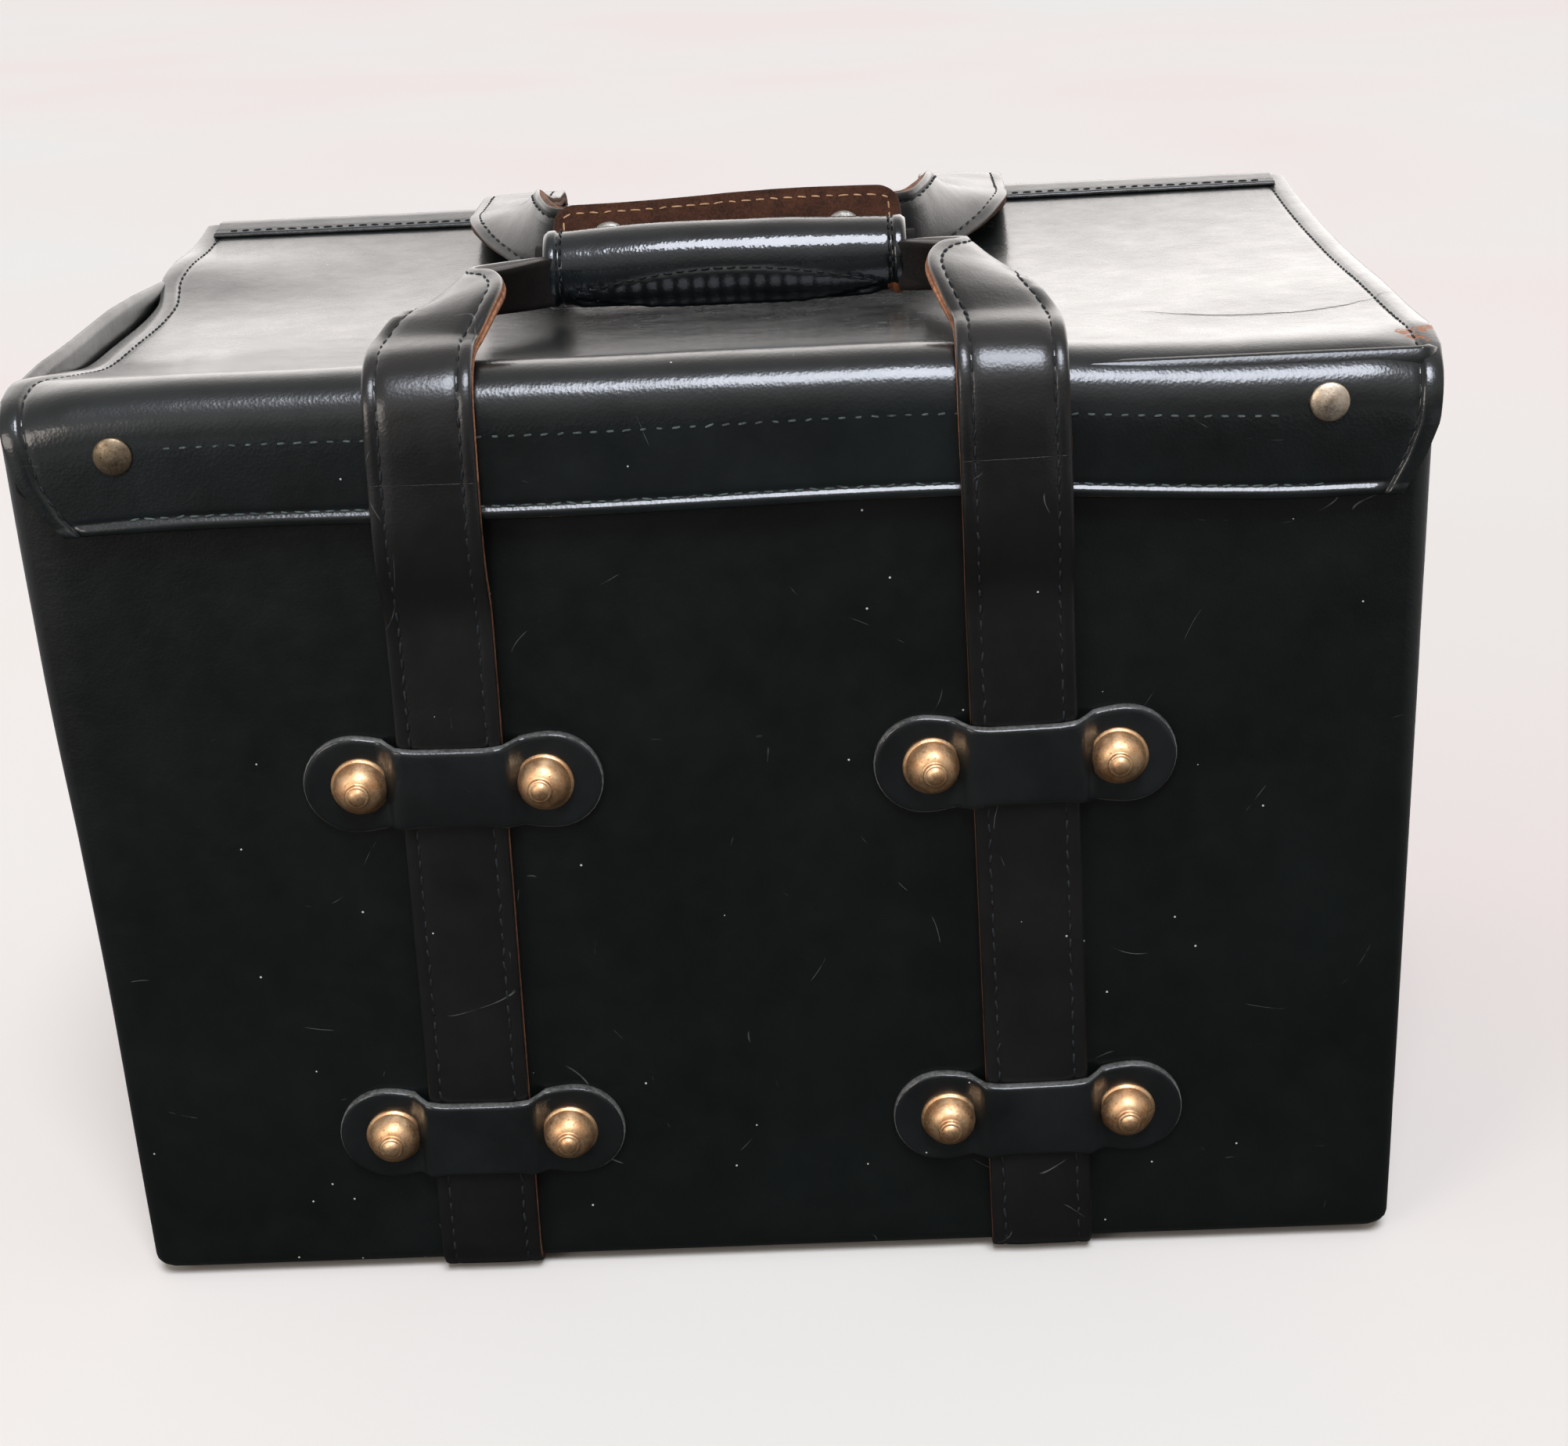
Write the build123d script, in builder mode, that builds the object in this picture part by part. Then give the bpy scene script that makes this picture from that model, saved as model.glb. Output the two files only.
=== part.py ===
# Leather camera case: a boxy body with a hinged lid and front flap, two
# strap loops that run under the case and up through riveted keepers, and a
# padded hand grip with an open wrap.
# Frame: origin under the middle of the case on the ground, X to the right,
# Y to the back, Z up, millimetres. The front with the snaps faces -Y.
from build123d import *
from math import asin, atan, cos, sin, sqrt
import os

# Case body
case_depth = 283.0
width_at_top = 416.0
width_at_base = 406.0
case_height = 301.0
wall = 4.0
edge_radius = 6.0
base_edge_radius = 5.0
end_bow = 3.0

# Straps, keepers and bell studs
strap_width = 32.0
strap_thickness = 5.0
under_strap = 3.0
strap_offset_top = 85.0
strap_offset_base = 90.0
keeper_end_margin = 17.75
keeper_height = 31.0
keeper_waist = 24.0
keeper_thickness = 2.8
upper_keeper_drop = 127.5
lower_keeper_z = 52.5
stud_spare = 6.5
stud_diameter = 18.0
stud_height = 11.0
shank_diameter = 4.0

# Lid, front flap and snaps
lid_leather_thickness = 2.6
lid_lining_thickness = 1.6
lid_sag = 11.5
roll_radius = 14.0
flap_drop = 46.0
lid_overhang = 2.0
flap_corner_cut = 17.0
facing_height = 27.0
facing_thickness = 1.2
flap_stand_off = 2.2
hinge_radius = 3.5
snap_inset = 17.5
snap_drop = 20.0
snap_cap_diameter = 11.5

# Loops and hand grip
grip_length = 118.0
grip_diameter = 26.0
grip_core_diameter = 15.0
grip_centre_y = -28.0
finger_gap = 5.0
wrap_height = 26.0
wrap_socket_offset = 39.0
hand_strap_y = 24.0
hand_strap_rise = 3.0
hand_strap_height = 28.0

# Rings on the end panels
ring_tab_width = 26.0
ring_tab_drop = 13.0
ring_bar_drop = 49.0
ring_wire = 4.0
ring_width = 32.0
ring_drop = 24.0

# Clearances and small stock sizes
hole_clearance = 0.15
running_gap = 0.3
leather_strip = 1.2
lining_thickness = 2.0
lining_gap = 1.6
base_pad_thickness = 8.0
glue_line = 0.1
trim_margin = 10.0

# Worked out from the sizes above
front_face = case_depth / 2
body_base_z = under_strap
wall_top_z = case_height - 7.4
splay = (strap_offset_base - strap_offset_top) / case_height
flap_inner_y = -front_face - flap_stand_off
flap_leather_y = flap_inner_y - facing_thickness
flap_outer_y = flap_leather_y - lid_leather_thickness
roll_y = flap_outer_y + roll_radius
roll_z = case_height - roll_radius
flap_low_z = case_height - flap_drop
lid_half = width_at_top / 2 + lid_overhang
flap_half_width_low = lid_half - flap_corner_cut
snap_offset = flap_half_width_low - snap_inset
upper_keeper_z = case_height - upper_keeper_drop
ring_tab_top = case_height - ring_tab_drop
ring_bar_z = case_height - ring_bar_drop
stud_pitch = strap_width + stud_diameter + stud_spare
keeper_length = stud_pitch + 2 * keeper_end_margin
grip_radius = grip_diameter / 2
core_radius = grip_core_diameter / 2
hinge_y = front_face - 2.0
hinge_z = case_height - hinge_radius
lid_rear_y = hinge_y - hinge_radius - 0.2
lid_under = lid_leather_thickness + glue_line
leg_low_z = upper_keeper_z + keeper_height / 2 + 1.0
far = 400.0

os.makedirs("parts", exist_ok=True)


def save(part, name):
    part.label = name
    export_step(part, f"parts/{name}.step")


def width_at(z):
    """Outside width of the tapered body at height z."""
    share = (z - body_base_z) / (case_height - body_base_z)
    return width_at_base + (width_at_top - width_at_base) * share


def strap_centre(z):
    """Distance of a strap's centre line from the middle plane at height z."""
    return strap_offset_base - splay * z


def lid_top_z(y):
    """Height of the sagging lid's top face at depth y."""
    half_chord = (lid_rear_y - roll_y) / 2
    middle = (lid_rear_y + roll_y) / 2
    arc_radius = (half_chord**2 + lid_sag**2) / (2 * lid_sag)
    rise = arc_radius - sqrt(arc_radius**2 - (y - middle) ** 2)
    return case_height - lid_sag + rise


grip_centre_z = lid_top_z(grip_centre_y) + finger_gap + grip_radius
hand_strap_z = grip_centre_z + hand_strap_rise


def sag_arc(y_from, y_to, drop):
    """Points of the lid's sagging arc, lowered by drop, for a three point arc."""
    middle = (y_from + y_to) / 2
    return [(y, lid_top_z(y) - drop) for y in (y_from, middle, y_to)]


def tapered_block(inset, z_low, z_high, bow=0.0):
    """Solid block of the body's tapered form, inset from its outside, with flat long faces."""
    half_depth = front_face - inset
    reach = half_depth + trim_margin
    with BuildPart() as block:
        for z in (z_low, z_high):
            half_width = width_at(z) / 2 - inset
            swell = bow * (z - z_low) / (z_high - z_low)
            corner_x = half_width - swell * ((reach / half_depth)**2 - 1)
            with BuildSketch(Plane.XY.offset(z)):
                with BuildLine():
                    Line((-corner_x, -reach), (corner_x, -reach))
                    ThreePointArc((corner_x, -reach), (half_width + swell + 0.01, 0),
                                  (corner_x, reach))
                    Line((corner_x, reach), (-corner_x, reach))
                    ThreePointArc((-corner_x, reach), (-half_width - swell - 0.01, 0),
                                  (-corner_x, -reach))
                make_face()
        loft(ruled=True)
        with BuildSketch(Plane.XY.offset(z_low)):
            Rectangle(2 * far, 2 * half_depth)
        extrude(amount=z_high - z_low, mode=Mode.INTERSECT)
    return block.part


# Body panels, cut from one tapered shell so that their edges meet
with BuildPart() as case_shell:
    add(tapered_block(0, body_base_z, case_height, end_bow))
    standing_edges = case_shell.edges().filter_by(lambda e: e.bounding_box().size.Z > far / 2)
    fillet(standing_edges, edge_radius)
    fillet(case_shell.edges().group_by(Axis.Z)[0], base_edge_radius)
    add(tapered_block(wall, body_base_z + wall, case_height + 1, end_bow), mode=Mode.SUBTRACT)

split_z = body_base_z + edge_radius
inner_face = front_face - wall
stud_places = []
for side in (-1, 1):
    for keeper_z in (lower_keeper_z, upper_keeper_z):
        for end in (-1, 1):
            along = side * strap_centre(keeper_z) + end * stud_pitch / 2 * cos(atan(splay))
            stud_places.append((along, keeper_z + side * end * stud_pitch / 2 * splay))


def long_panel(outward, top_z):
    """Front (outward -1) or back (+1) panel with the holes for its studs."""
    with BuildPart() as panel:
        add(case_shell.part)
        with BuildSketch(Plane.XY.offset(split_z)):
            with Locations((0, outward * (inner_face + far / 2))):
                Rectangle(2 * far, far)
        extrude(amount=top_z - split_z, mode=Mode.INTERSECT)
        with BuildSketch(Plane((0, outward * inner_face, 0), (1, 0, 0), (0, outward, 0))):
            with Locations(*[(x, -outward * z) for x, z in stud_places]):
                Circle(shank_diameter / 2 + hole_clearance)
        extrude(amount=2 * wall, both=True, mode=Mode.SUBTRACT)
    return panel


front_panel = long_panel(-1, wall_top_z)
save(front_panel.part, "front_panel")
back_panel = long_panel(1, hinge_z - hinge_radius - 0.2)
save(back_panel.part, "back_panel")

with BuildPart() as bottom_panel:
    add(case_shell.part)
    with BuildSketch(Plane.XY.offset(split_z)):
        Rectangle(2 * far, 2 * far)
    extrude(amount=-split_z, mode=Mode.INTERSECT)
save(bottom_panel.part, "bottom_panel")

end_top_drop = lid_under + lid_lining_thickness + running_gap
for side, name in ((-1, "left_end_panel"), (1, "right_end_panel")):
    with BuildPart() as end_panel:
        add(case_shell.part)
        with BuildSketch(Plane.YZ.offset(side * (width_at_base / 2 - 2 * wall))):
            with BuildLine():
                Line((inner_face, split_z), (-inner_face, split_z))
                Line((-inner_face, split_z), (-inner_face, lid_top_z(-roll_z / 3) - end_top_drop))
                ThreePointArc((-inner_face, lid_top_z(-roll_z / 3) - end_top_drop),
                              (0, lid_top_z(0) - end_top_drop),
                              (inner_face, lid_top_z(roll_z / 3) - end_top_drop))
                Line((inner_face, lid_top_z(roll_z / 3) - end_top_drop), (inner_face, split_z))
            make_face()
        extrude(amount=side * far / 2, mode=Mode.INTERSECT)
    save(end_panel.part, name)

# Lining tray of suede and the foam pad in its floor
lining_low = body_base_z + wall + running_gap
lining_top = case_height - lid_sag - 9.0
with BuildPart() as lining:
    add(tapered_block(wall + lining_gap, lining_low, lining_top))
    pocket = tapered_block(wall + lining_gap + lining_thickness, lining_low + lining_thickness,
                           lining_top + 1)
    add(pocket, mode=Mode.SUBTRACT)
save(lining.part, "lining")

pad_low = lining_low + lining_thickness + running_gap
pad_inset = wall + lining_gap + lining_thickness + running_gap
with BuildPart() as base_pad:
    with BuildSketch(Plane.XY.offset(pad_low)):
        RectangleRounded(width_at_base - 2 * pad_inset - 2, case_depth - 2 * pad_inset, edge_radius)
    extrude(amount=base_pad_thickness)
    fillet(base_pad.faces().sort_by(Axis.Z)[-1].edges(), 2.5)
save(base_pad.part, "base_pad")

# Piped rear edge that the lid turns on, and the leather band over it
piping_half = width_at_top / 2 - edge_radius
with BuildPart() as hinge_piping:
    with BuildSketch(Plane.YZ.offset(-piping_half)):
        with Locations((hinge_y, hinge_z)):
            Circle(hinge_radius)
    extrude(amount=2 * piping_half)
save(hinge_piping.part, "hinge_piping")

band_inner = hinge_radius + 0.2
band_outer = band_inner + leather_strip
band_front_y = lid_rear_y - 14.0
band_low_z = case_height - 28.0
with BuildPart() as hinge_band:
    with BuildSketch(Plane.YZ.offset(-piping_half)):
        with BuildLine():
            front_low = (band_front_y, lid_top_z(band_front_y) + 0.2)
            front_high = (band_front_y, lid_top_z(band_front_y) + 0.2 + leather_strip)
            Polyline(front_low, (lid_rear_y, case_height + 0.2), (hinge_y, hinge_z + band_inner))
            CenterArc((hinge_y, hinge_z), band_inner, 90, -90)
            Line((hinge_y + band_inner, hinge_z), (hinge_y + band_inner, band_low_z))
            Line((hinge_y + band_inner, band_low_z), (hinge_y + band_outer, band_low_z))
            Line((hinge_y + band_outer, band_low_z), (hinge_y + band_outer, hinge_z))
            CenterArc((hinge_y, hinge_z), band_outer, 0, 90)
            Polyline((hinge_y, hinge_z + band_outer),
                     (lid_rear_y, case_height + 0.2 + leather_strip), front_high)
            Line(front_high, front_low)
        make_face()
    extrude(amount=2 * piping_half)
save(hinge_band.part, "hinge_band")


# Slings: each strap runs from keeper to keeper under the case
strap_face = front_face + running_gap / 3
strap_out = strap_face + strap_thickness
for side, name in ((-1, "left_sling"), (1, "right_sling")):
    with BuildPart() as sling:
        with BuildSketch(Plane.YZ):
            with BuildLine():
                outside = FilletPolyline((-strap_out, leg_low_z), (-strap_out, 0), (strap_out, 0),
                                         (strap_out, leg_low_z), radius=edge_radius + 4.0)
                Line(outside @ 1, (strap_face, leg_low_z))
                inside = FilletPolyline((strap_face, leg_low_z), (strap_face, under_strap - 0.1),
                                        (-strap_face, under_strap - 0.1), (-strap_face, leg_low_z),
                                        radius=edge_radius - 1.0)
                Line(inside @ 1, outside @ 0)
            make_face()
        extrude(amount=side * far / 2)
        with BuildSketch(Plane.XZ):
            with BuildLine():
                Polyline(*[(side * (strap_centre(z) + edge * strap_width / 2), z)
                           for z, edge in ((0, -1), (0, 1), (leg_low_z, 1), (leg_low_z, -1))],
                         close=True)
            make_face()
        extrude(amount=far, both=True, mode=Mode.INTERSECT)
    save(sling.part, name)


# Keepers: a dumbbell of leather bridged over its strap, with two stud holes
bridge_rise = strap_thickness + running_gap + running_gap / 3
bridge_half = strap_width / 2 + 0.4
ramp = 1.8
ramp_skew = 0.9


def keeper_plane(side, outward, z, normal_out):
    """Plane at a keeper's middle on the panel, along the leaning strap."""
    lean = Vector(1, 0, side * splay).normalized()
    origin = (side * strap_centre(z), outward * front_face, z)
    up = Vector(-side * splay, 0, 1).normalized()
    return Plane(origin, lean, (0, outward, 0) if normal_out else up)


def make_keeper(side, outward, z):
    with BuildPart() as keeper:
        with BuildSketch(keeper_plane(side, outward, z, False).offset(-keeper_height / 2)):
            half = keeper_length / 2
            inner = [(-half, 0), (-bridge_half - ramp, 0), (-bridge_half, bridge_rise),
                     (bridge_half, bridge_rise), (bridge_half + ramp, 0), (half, 0)]
            reach = keeper_thickness
            outer = [(half, reach), (bridge_half + ramp + ramp_skew, reach),
                     (bridge_half + ramp_skew, bridge_rise + reach),
                     (-bridge_half - ramp_skew, bridge_rise + reach),
                     (-bridge_half - ramp - ramp_skew, reach), (-half, reach)]
            with BuildLine():
                Polyline(*[(x, outward * y) for x, y in inner + outer], close=True)
            make_face()
        extrude(amount=keeper_height)
        with BuildSketch(keeper_plane(side, outward, z, True)) as outline:
            lobe = keeper_height / 2
            Rectangle(keeper_length - keeper_height, keeper_waist)
            with Locations((-keeper_length / 2 + lobe, 0), (keeper_length / 2 - lobe, 0)):
                Circle(lobe)
            inner_corners = outline.vertices().filter_by(
                lambda v: abs(abs((v.center() - outline.workplanes[0].origin).dot(
                    outline.workplanes[0].x_dir)) - keeper_length / 2) > lobe)
            fillet(inner_corners, 7.0)
            with Locations((-stud_pitch / 2, 0), (stud_pitch / 2, 0)):
                Circle(shank_diameter / 2 + hole_clearance, mode=Mode.SUBTRACT)
        extrude(amount=far / 10, mode=Mode.INTERSECT)
    return keeper.part


for outward, face_name in ((-1, "front"), (1, "back")):
    for side, side_name in ((-1, "left"), (1, "right")):
        for z, level in ((upper_keeper_z, "upper"), (lower_keeper_z, "lower")):
            save(make_keeper(side, outward, z), f"{face_name}_{side_name}_{level}_keeper")

def dome_points(radius, low, top):
    """Start, middle and end of a round cap's profile, from its rim to the axis."""
    rise = top - low
    ball = (radius**2 + rise**2) / (2 * rise)
    half_turn = asin(min(radius / ball, 1)) / 2
    return (radius, low), (ball * sin(half_turn), top - ball + ball * cos(half_turn)), (0, top)


# Bell studs: skirt, domed bell, nipple and a shank through keeper and panel
stud_radius = stud_diameter / 2
nipple_radius = stud_diameter * 0.205
neck_radius = nipple_radius - 0.4
skirt_rise = 1.4
bell_rise = stud_height - 3.8
with BuildPart() as bell_stud:
    with BuildSketch(Plane.XZ):
        with BuildLine():
            shank_end = -(keeper_thickness + wall + leather_strip + 0.3)
            Polyline((0, shank_end), (shank_diameter / 2, shank_end), (shank_diameter / 2, 0),
                     (stud_radius, 0), (stud_radius - 0.5, skirt_rise))
            ThreePointArc((stud_radius - 0.5, skirt_rise), (stud_radius - 2.1, bell_rise * 0.64),
                          (neck_radius, bell_rise))
            Line((neck_radius, bell_rise), (nipple_radius, bell_rise + 0.9))
            ThreePointArc(*dome_points(nipple_radius, bell_rise + 0.9, stud_height))
            Line((0, stud_height), (0, shank_end))
        make_face()
    revolve(axis=Axis.Z)


def stud_group(piece, outward, height_from_face):
    """The piece at every stud place of one face, its Z turned outward."""
    with BuildPart() as group:
        for x, z in stud_places:
            seat = Plane((x, outward * (front_face + height_from_face), z), (1, 0, 0),
                         (0, outward, 0))
            with Locations(seat.location):
                add(piece)
    return group.part


save(stud_group(bell_stud.part, -1, keeper_thickness), "front_studs")
save(stud_group(bell_stud.part, 1, keeper_thickness), "back_studs")

with BuildPart() as stud_burr:
    with BuildSketch(Plane.XY.offset(-leather_strip)):
        Circle(5.0)
        Circle(shank_diameter / 2 + hole_clearance, mode=Mode.SUBTRACT)
    extrude(amount=leather_strip)
save(stud_group(stud_burr.part, -1, -wall), "front_stud_burrs")
save(stud_group(stud_burr.part, 1, -wall), "back_stud_burrs")

# Lid: one hide from the rear hinge over the rolled front edge into the flap
with BuildPart() as lid_leather:
    with BuildSketch(Plane.YZ.offset(-lid_half)):
        inner_roll = roll_radius - lid_leather_thickness
        with BuildLine():
            ThreePointArc(*sag_arc(lid_rear_y, roll_y, 0))
            CenterArc((roll_y, roll_z), roll_radius, 90, 90)
            Polyline((flap_outer_y, roll_z), (flap_outer_y, flap_low_z),
                     (flap_leather_y, flap_low_z), (flap_leather_y, roll_z))
            CenterArc((roll_y, roll_z), inner_roll, 180, -90)
            ThreePointArc(*sag_arc(roll_y, lid_rear_y, lid_leather_thickness))
            Line((lid_rear_y, case_height - lid_leather_thickness), (lid_rear_y, case_height))
        make_face()
    extrude(amount=2 * lid_half)
    corner_rise = lid_half - flap_half_width_low + 4.0
    with BuildSketch(Plane.XZ.offset(front_face)):
        for side in (-1, 1):
            with BuildLine():
                Polyline((side * flap_half_width_low, flap_low_z - 1),
                         (side * (lid_half + 1), flap_low_z + corner_rise),
                         (side * (lid_half + 1), flap_low_z - 1), close=True)
            make_face()
    extrude(amount=roll_radius, mode=Mode.SUBTRACT)
    with BuildSketch(Plane.XZ.offset(front_face)):
        with Locations((-snap_offset, case_height - snap_drop), (snap_offset, case_height - snap_drop)):
            Circle(1.6 + hole_clearance)
    extrude(amount=roll_radius, mode=Mode.SUBTRACT)
save(lid_leather.part, "lid_leather")

lining_rear_y = lid_rear_y - 3.0
lining_front_y = roll_y + 2.0
with BuildPart() as lid_lining:
    lining_half = width_at_top / 2 - 2.0
    with BuildSketch(Plane.YZ.offset(-lining_half)):
        with BuildLine():
            top_arc = sag_arc(lining_rear_y, lining_front_y, lid_under)
            low_arc = sag_arc(lining_front_y, lining_rear_y, lid_under + lid_lining_thickness)
            ThreePointArc(*top_arc)
            Line(top_arc[-1], low_arc[0])
            ThreePointArc(*low_arc)
            Line(low_arc[-1], top_arc[0])
        make_face()
    extrude(amount=2 * lining_half)
save(lid_lining.part, "lid_lining")

for side, name in ((-1, "left_lid_binding"), (1, "right_lid_binding")):
    with BuildPart() as binding:
        with BuildSketch(Plane.YZ.offset(side * (lid_half - 6.5))):
            with BuildLine():
                low = sag_arc(band_front_y - 1.0, roll_y, -glue_line)
                high = sag_arc(roll_y, band_front_y - 1.0, -glue_line - 0.9)
                ThreePointArc(*low)
                Line(low[-1], high[0])
                ThreePointArc(*high)
                Line(high[-1], low[0])
            make_face()
        extrude(amount=side * 6.5)
    save(binding.part, name)

# Facing strip behind the flap, with a hole round each snap socket
socket_radius = 5.2
facing_low_z = flap_low_z + 2.0
facing_high_z = facing_low_z + facing_height
with BuildPart() as flap_facing:
    with BuildSketch(Plane.XZ.offset(-flap_inner_y)):
        with BuildLine():
            low_half = flap_half_width_low - 1.0
            high_half = flap_half_width_low + facing_height - 12.0
            Polyline((-low_half, facing_low_z), (low_half, facing_low_z),
                     (lid_half - 4.0, facing_low_z + 14.0), (lid_half - 4.0, facing_high_z),
                     (-lid_half + 4.0, facing_high_z), (-lid_half + 4.0, facing_low_z + 14.0),
                     close=True)
        make_face()
        with Locations((-snap_offset, case_height - snap_drop), (snap_offset, case_height - snap_drop)):
            Circle(socket_radius + running_gap, mode=Mode.SUBTRACT)
    extrude(amount=facing_thickness)
save(flap_facing.part, "flap_facing")

# Press studs: cap and socket on the flap, ball stud on the front panel
snap_z = case_height - snap_drop
ball_radius = 1.9
with BuildPart() as snap_cap:
    with BuildSketch(Plane.XZ):
        cap_radius = snap_cap_diameter / 2
        with BuildLine():
            Polyline((0, -lid_leather_thickness), (1.6, -lid_leather_thickness), (1.6, 0),
                     (cap_radius - 0.4, 0), (cap_radius, 0.5))
            ThreePointArc(*dome_points(cap_radius, 0.5, 2.4))
            Line((0, 2.4), (0, -lid_leather_thickness))
        make_face()
    revolve(axis=Axis.Z)
socket_depth = flap_stand_off + facing_thickness - 1.0
with BuildPart() as snap_socket:
    with BuildSketch(Plane.XZ):
        with BuildLine():
            Polyline((0, 0), (socket_radius, 0), (socket_radius, -socket_depth + 0.6),
                     (socket_radius - 0.8, -socket_depth), (ball_radius + 0.2, -socket_depth),
                     (ball_radius + 0.2, -0.9), (0, -0.9), close=True)
        make_face()
    revolve(axis=Axis.Z)
with BuildPart() as snap_ball:
    with BuildSketch(Plane.XZ):
        with BuildLine():
            Polyline((0, 0), (5.0, 0), (5.0, 0.5), (ball_radius - 0.3, 0.7), (ball_radius, 1.4))
            ThreePointArc(*dome_points(ball_radius, 1.4, 2.1))
            Line((0, 2.1), (0, 0))
        make_face()
    revolve(axis=Axis.Z)


def pair_on_front(piece, y):
    """The piece at both snap places with its Z turned to the front."""
    with BuildPart() as pair:
        for side in (-1, 1):
            with Locations(Plane((side * snap_offset, y, snap_z), (1, 0, 0), (0, -1, 0)).location):
                add(piece)
    return pair.part


save(pair_on_front(snap_cap.part, flap_outer_y), "snap_caps")
save(pair_on_front(snap_socket.part, flap_leather_y), "snap_sockets")
save(pair_on_front(snap_ball.part, -front_face), "snap_studs")

# Vertical strap legs of the two loops, over the flap in front
leg_face = -flap_outer_y + running_gap
rear_leg_face = hinge_y + band_outer + running_gap
rear_bend_radius = band_outer + running_gap


def leg(side, outward, face_high, bend_low, bend_high, leg_high_z):
    """Strap leg from the upper keeper to the start of the top bend."""
    with BuildPart() as strap_leg:
        with BuildSketch(Plane.YZ):
            with BuildLine():
                Polyline(*[(outward * y, z) for y, z in (
                    (strap_face, leg_low_z), (strap_face, bend_low), (face_high, bend_high),
                    (face_high, leg_high_z), (face_high + strap_thickness, leg_high_z),
                    (face_high + strap_thickness, bend_high), (strap_out, bend_low),
                    (strap_out, leg_low_z))], close=True)
            make_face()
        extrude(amount=side * far / 2)
        with BuildSketch(Plane.XZ):
            with BuildLine():
                Polyline(*[(side * (strap_centre(z) + edge * strap_width / 2), z) for z, edge in (
                    (leg_low_z, -1), (leg_low_z, 1), (leg_high_z, 1), (leg_high_z, -1))],
                         close=True)
            make_face()
        extrude(amount=far, both=True, mode=Mode.INTERSECT)
    return strap_leg.part


for side, side_name in ((-1, "left"), (1, "right")):
    save(leg(side, -1, leg_face, flap_low_z - 22.0, flap_low_z - 4.0, roll_z),
         f"front_{side_name}_leg")
    save(leg(side, 1, rear_leg_face, band_low_z - 14.0, band_low_z - 4.0,
             hinge_z), f"rear_{side_name}_leg")


# Shoulders: the strap bends over the top edge, rises and turns to the hand
def shoulder(side, outward, bend_y, bend_radius, leg_high_z, turn, end):
    """Strap from the leg's top round the edge, through the turn, to its end."""
    top_z = leg_high_z + bend_radius
    flat_y = abs(bend_y) - 14.0
    centre_x = side * strap_centre(leg_high_z)
    with BuildPart() as bend:
        with BuildSketch(Plane.YZ.offset(centre_x - strap_width / 2)):
            with BuildLine():
                outer = bend_radius + strap_thickness
                start = 180 if outward < 0 else 0
                sweep_angle = 90 * outward
                CenterArc((bend_y, leg_high_z), bend_radius, start, sweep_angle)
                CenterArc((bend_y, leg_high_z), outer, start, sweep_angle)
                Line((bend_y + outward * bend_radius, leg_high_z),
                     (bend_y + outward * outer, leg_high_z))
                Polyline((bend_y, top_z), (outward * flat_y, top_z),
                         (outward * flat_y, top_z + strap_thickness),
                         (bend_y, top_z + strap_thickness))
            make_face()
        extrude(amount=strap_width)
    with BuildPart() as rise:
        with BuildSketch(Plane((centre_x, outward * flat_y, top_z + strap_thickness / 2),
                               (1, 0, 0), (0, -outward, 0))):
            Rectangle(strap_width, strap_thickness)
        with BuildSketch(Plane(turn[0], turn[1], turn[2])):
            Rectangle(strap_width - 4.0, strap_thickness)
        with BuildSketch(Plane(end[0], (0, -outward, 0), (-side, 0, 0))):
            Rectangle(strap_thickness, end[1])
        loft(ruled=True)
    with BuildPart() as whole:
        add(bend.part)
        add(rise.part)
    return whole.part


front_bend_radius = leg_face + roll_y
turn_reach = 38.0
turn_pull_in = 6.0
for side, side_name in ((-1, "left"), (1, "right")):
    turn_x = side * (strap_centre(roll_z) - turn_pull_in)
    front_turn = ((turn_x, grip_centre_y - turn_reach, grip_centre_z + hand_strap_rise),
                  (1, side * 0.55, -side * 0.35), (-side * 0.55, 1, 0.0))
    front_end = ((side * (grip_length / 2 + 3.5), grip_centre_y, grip_centre_z), 20.0)
    save(shoulder(side, -1, roll_y, front_bend_radius, roll_z, front_turn, front_end),
         f"front_{side_name}_shoulder")
    rear_turn = ((turn_x, hand_strap_y + turn_reach, hand_strap_z + 2.0),
                 (1, -side * 0.55, -side * 0.35), (-side * 0.55, -1, 0.0))
    rear_end = ((side * (grip_length / 2 + 1.0), hand_strap_y, hand_strap_z), hand_strap_height)
    save(shoulder(side, 1, hinge_y, rear_bend_radius, hinge_z, rear_turn, rear_end),
         f"rear_{side_name}_shoulder")

with BuildPart() as rear_hand_strap:
    with BuildSketch(Plane.YZ.offset(-grip_length / 2 - 1.0)):
        with Locations((hand_strap_y, hand_strap_z)):
            RectangleRounded(strap_thickness, hand_strap_height, 1.2)
    extrude(amount=grip_length + 2.0)
save(rear_hand_strap.part, "rear_hand_strap")

# Hand grip: a rolled core inside a stitched leather wrap with a lower seam fin
with BuildPart() as grip_core:
    with BuildSketch(Plane.YZ.offset(-grip_length / 2 - 3.0)):
        with Locations((grip_centre_y, grip_centre_z)):
            Circle(core_radius)
    extrude(amount=grip_length + 6.0)
save(grip_core.part, "grip_core")

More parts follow.
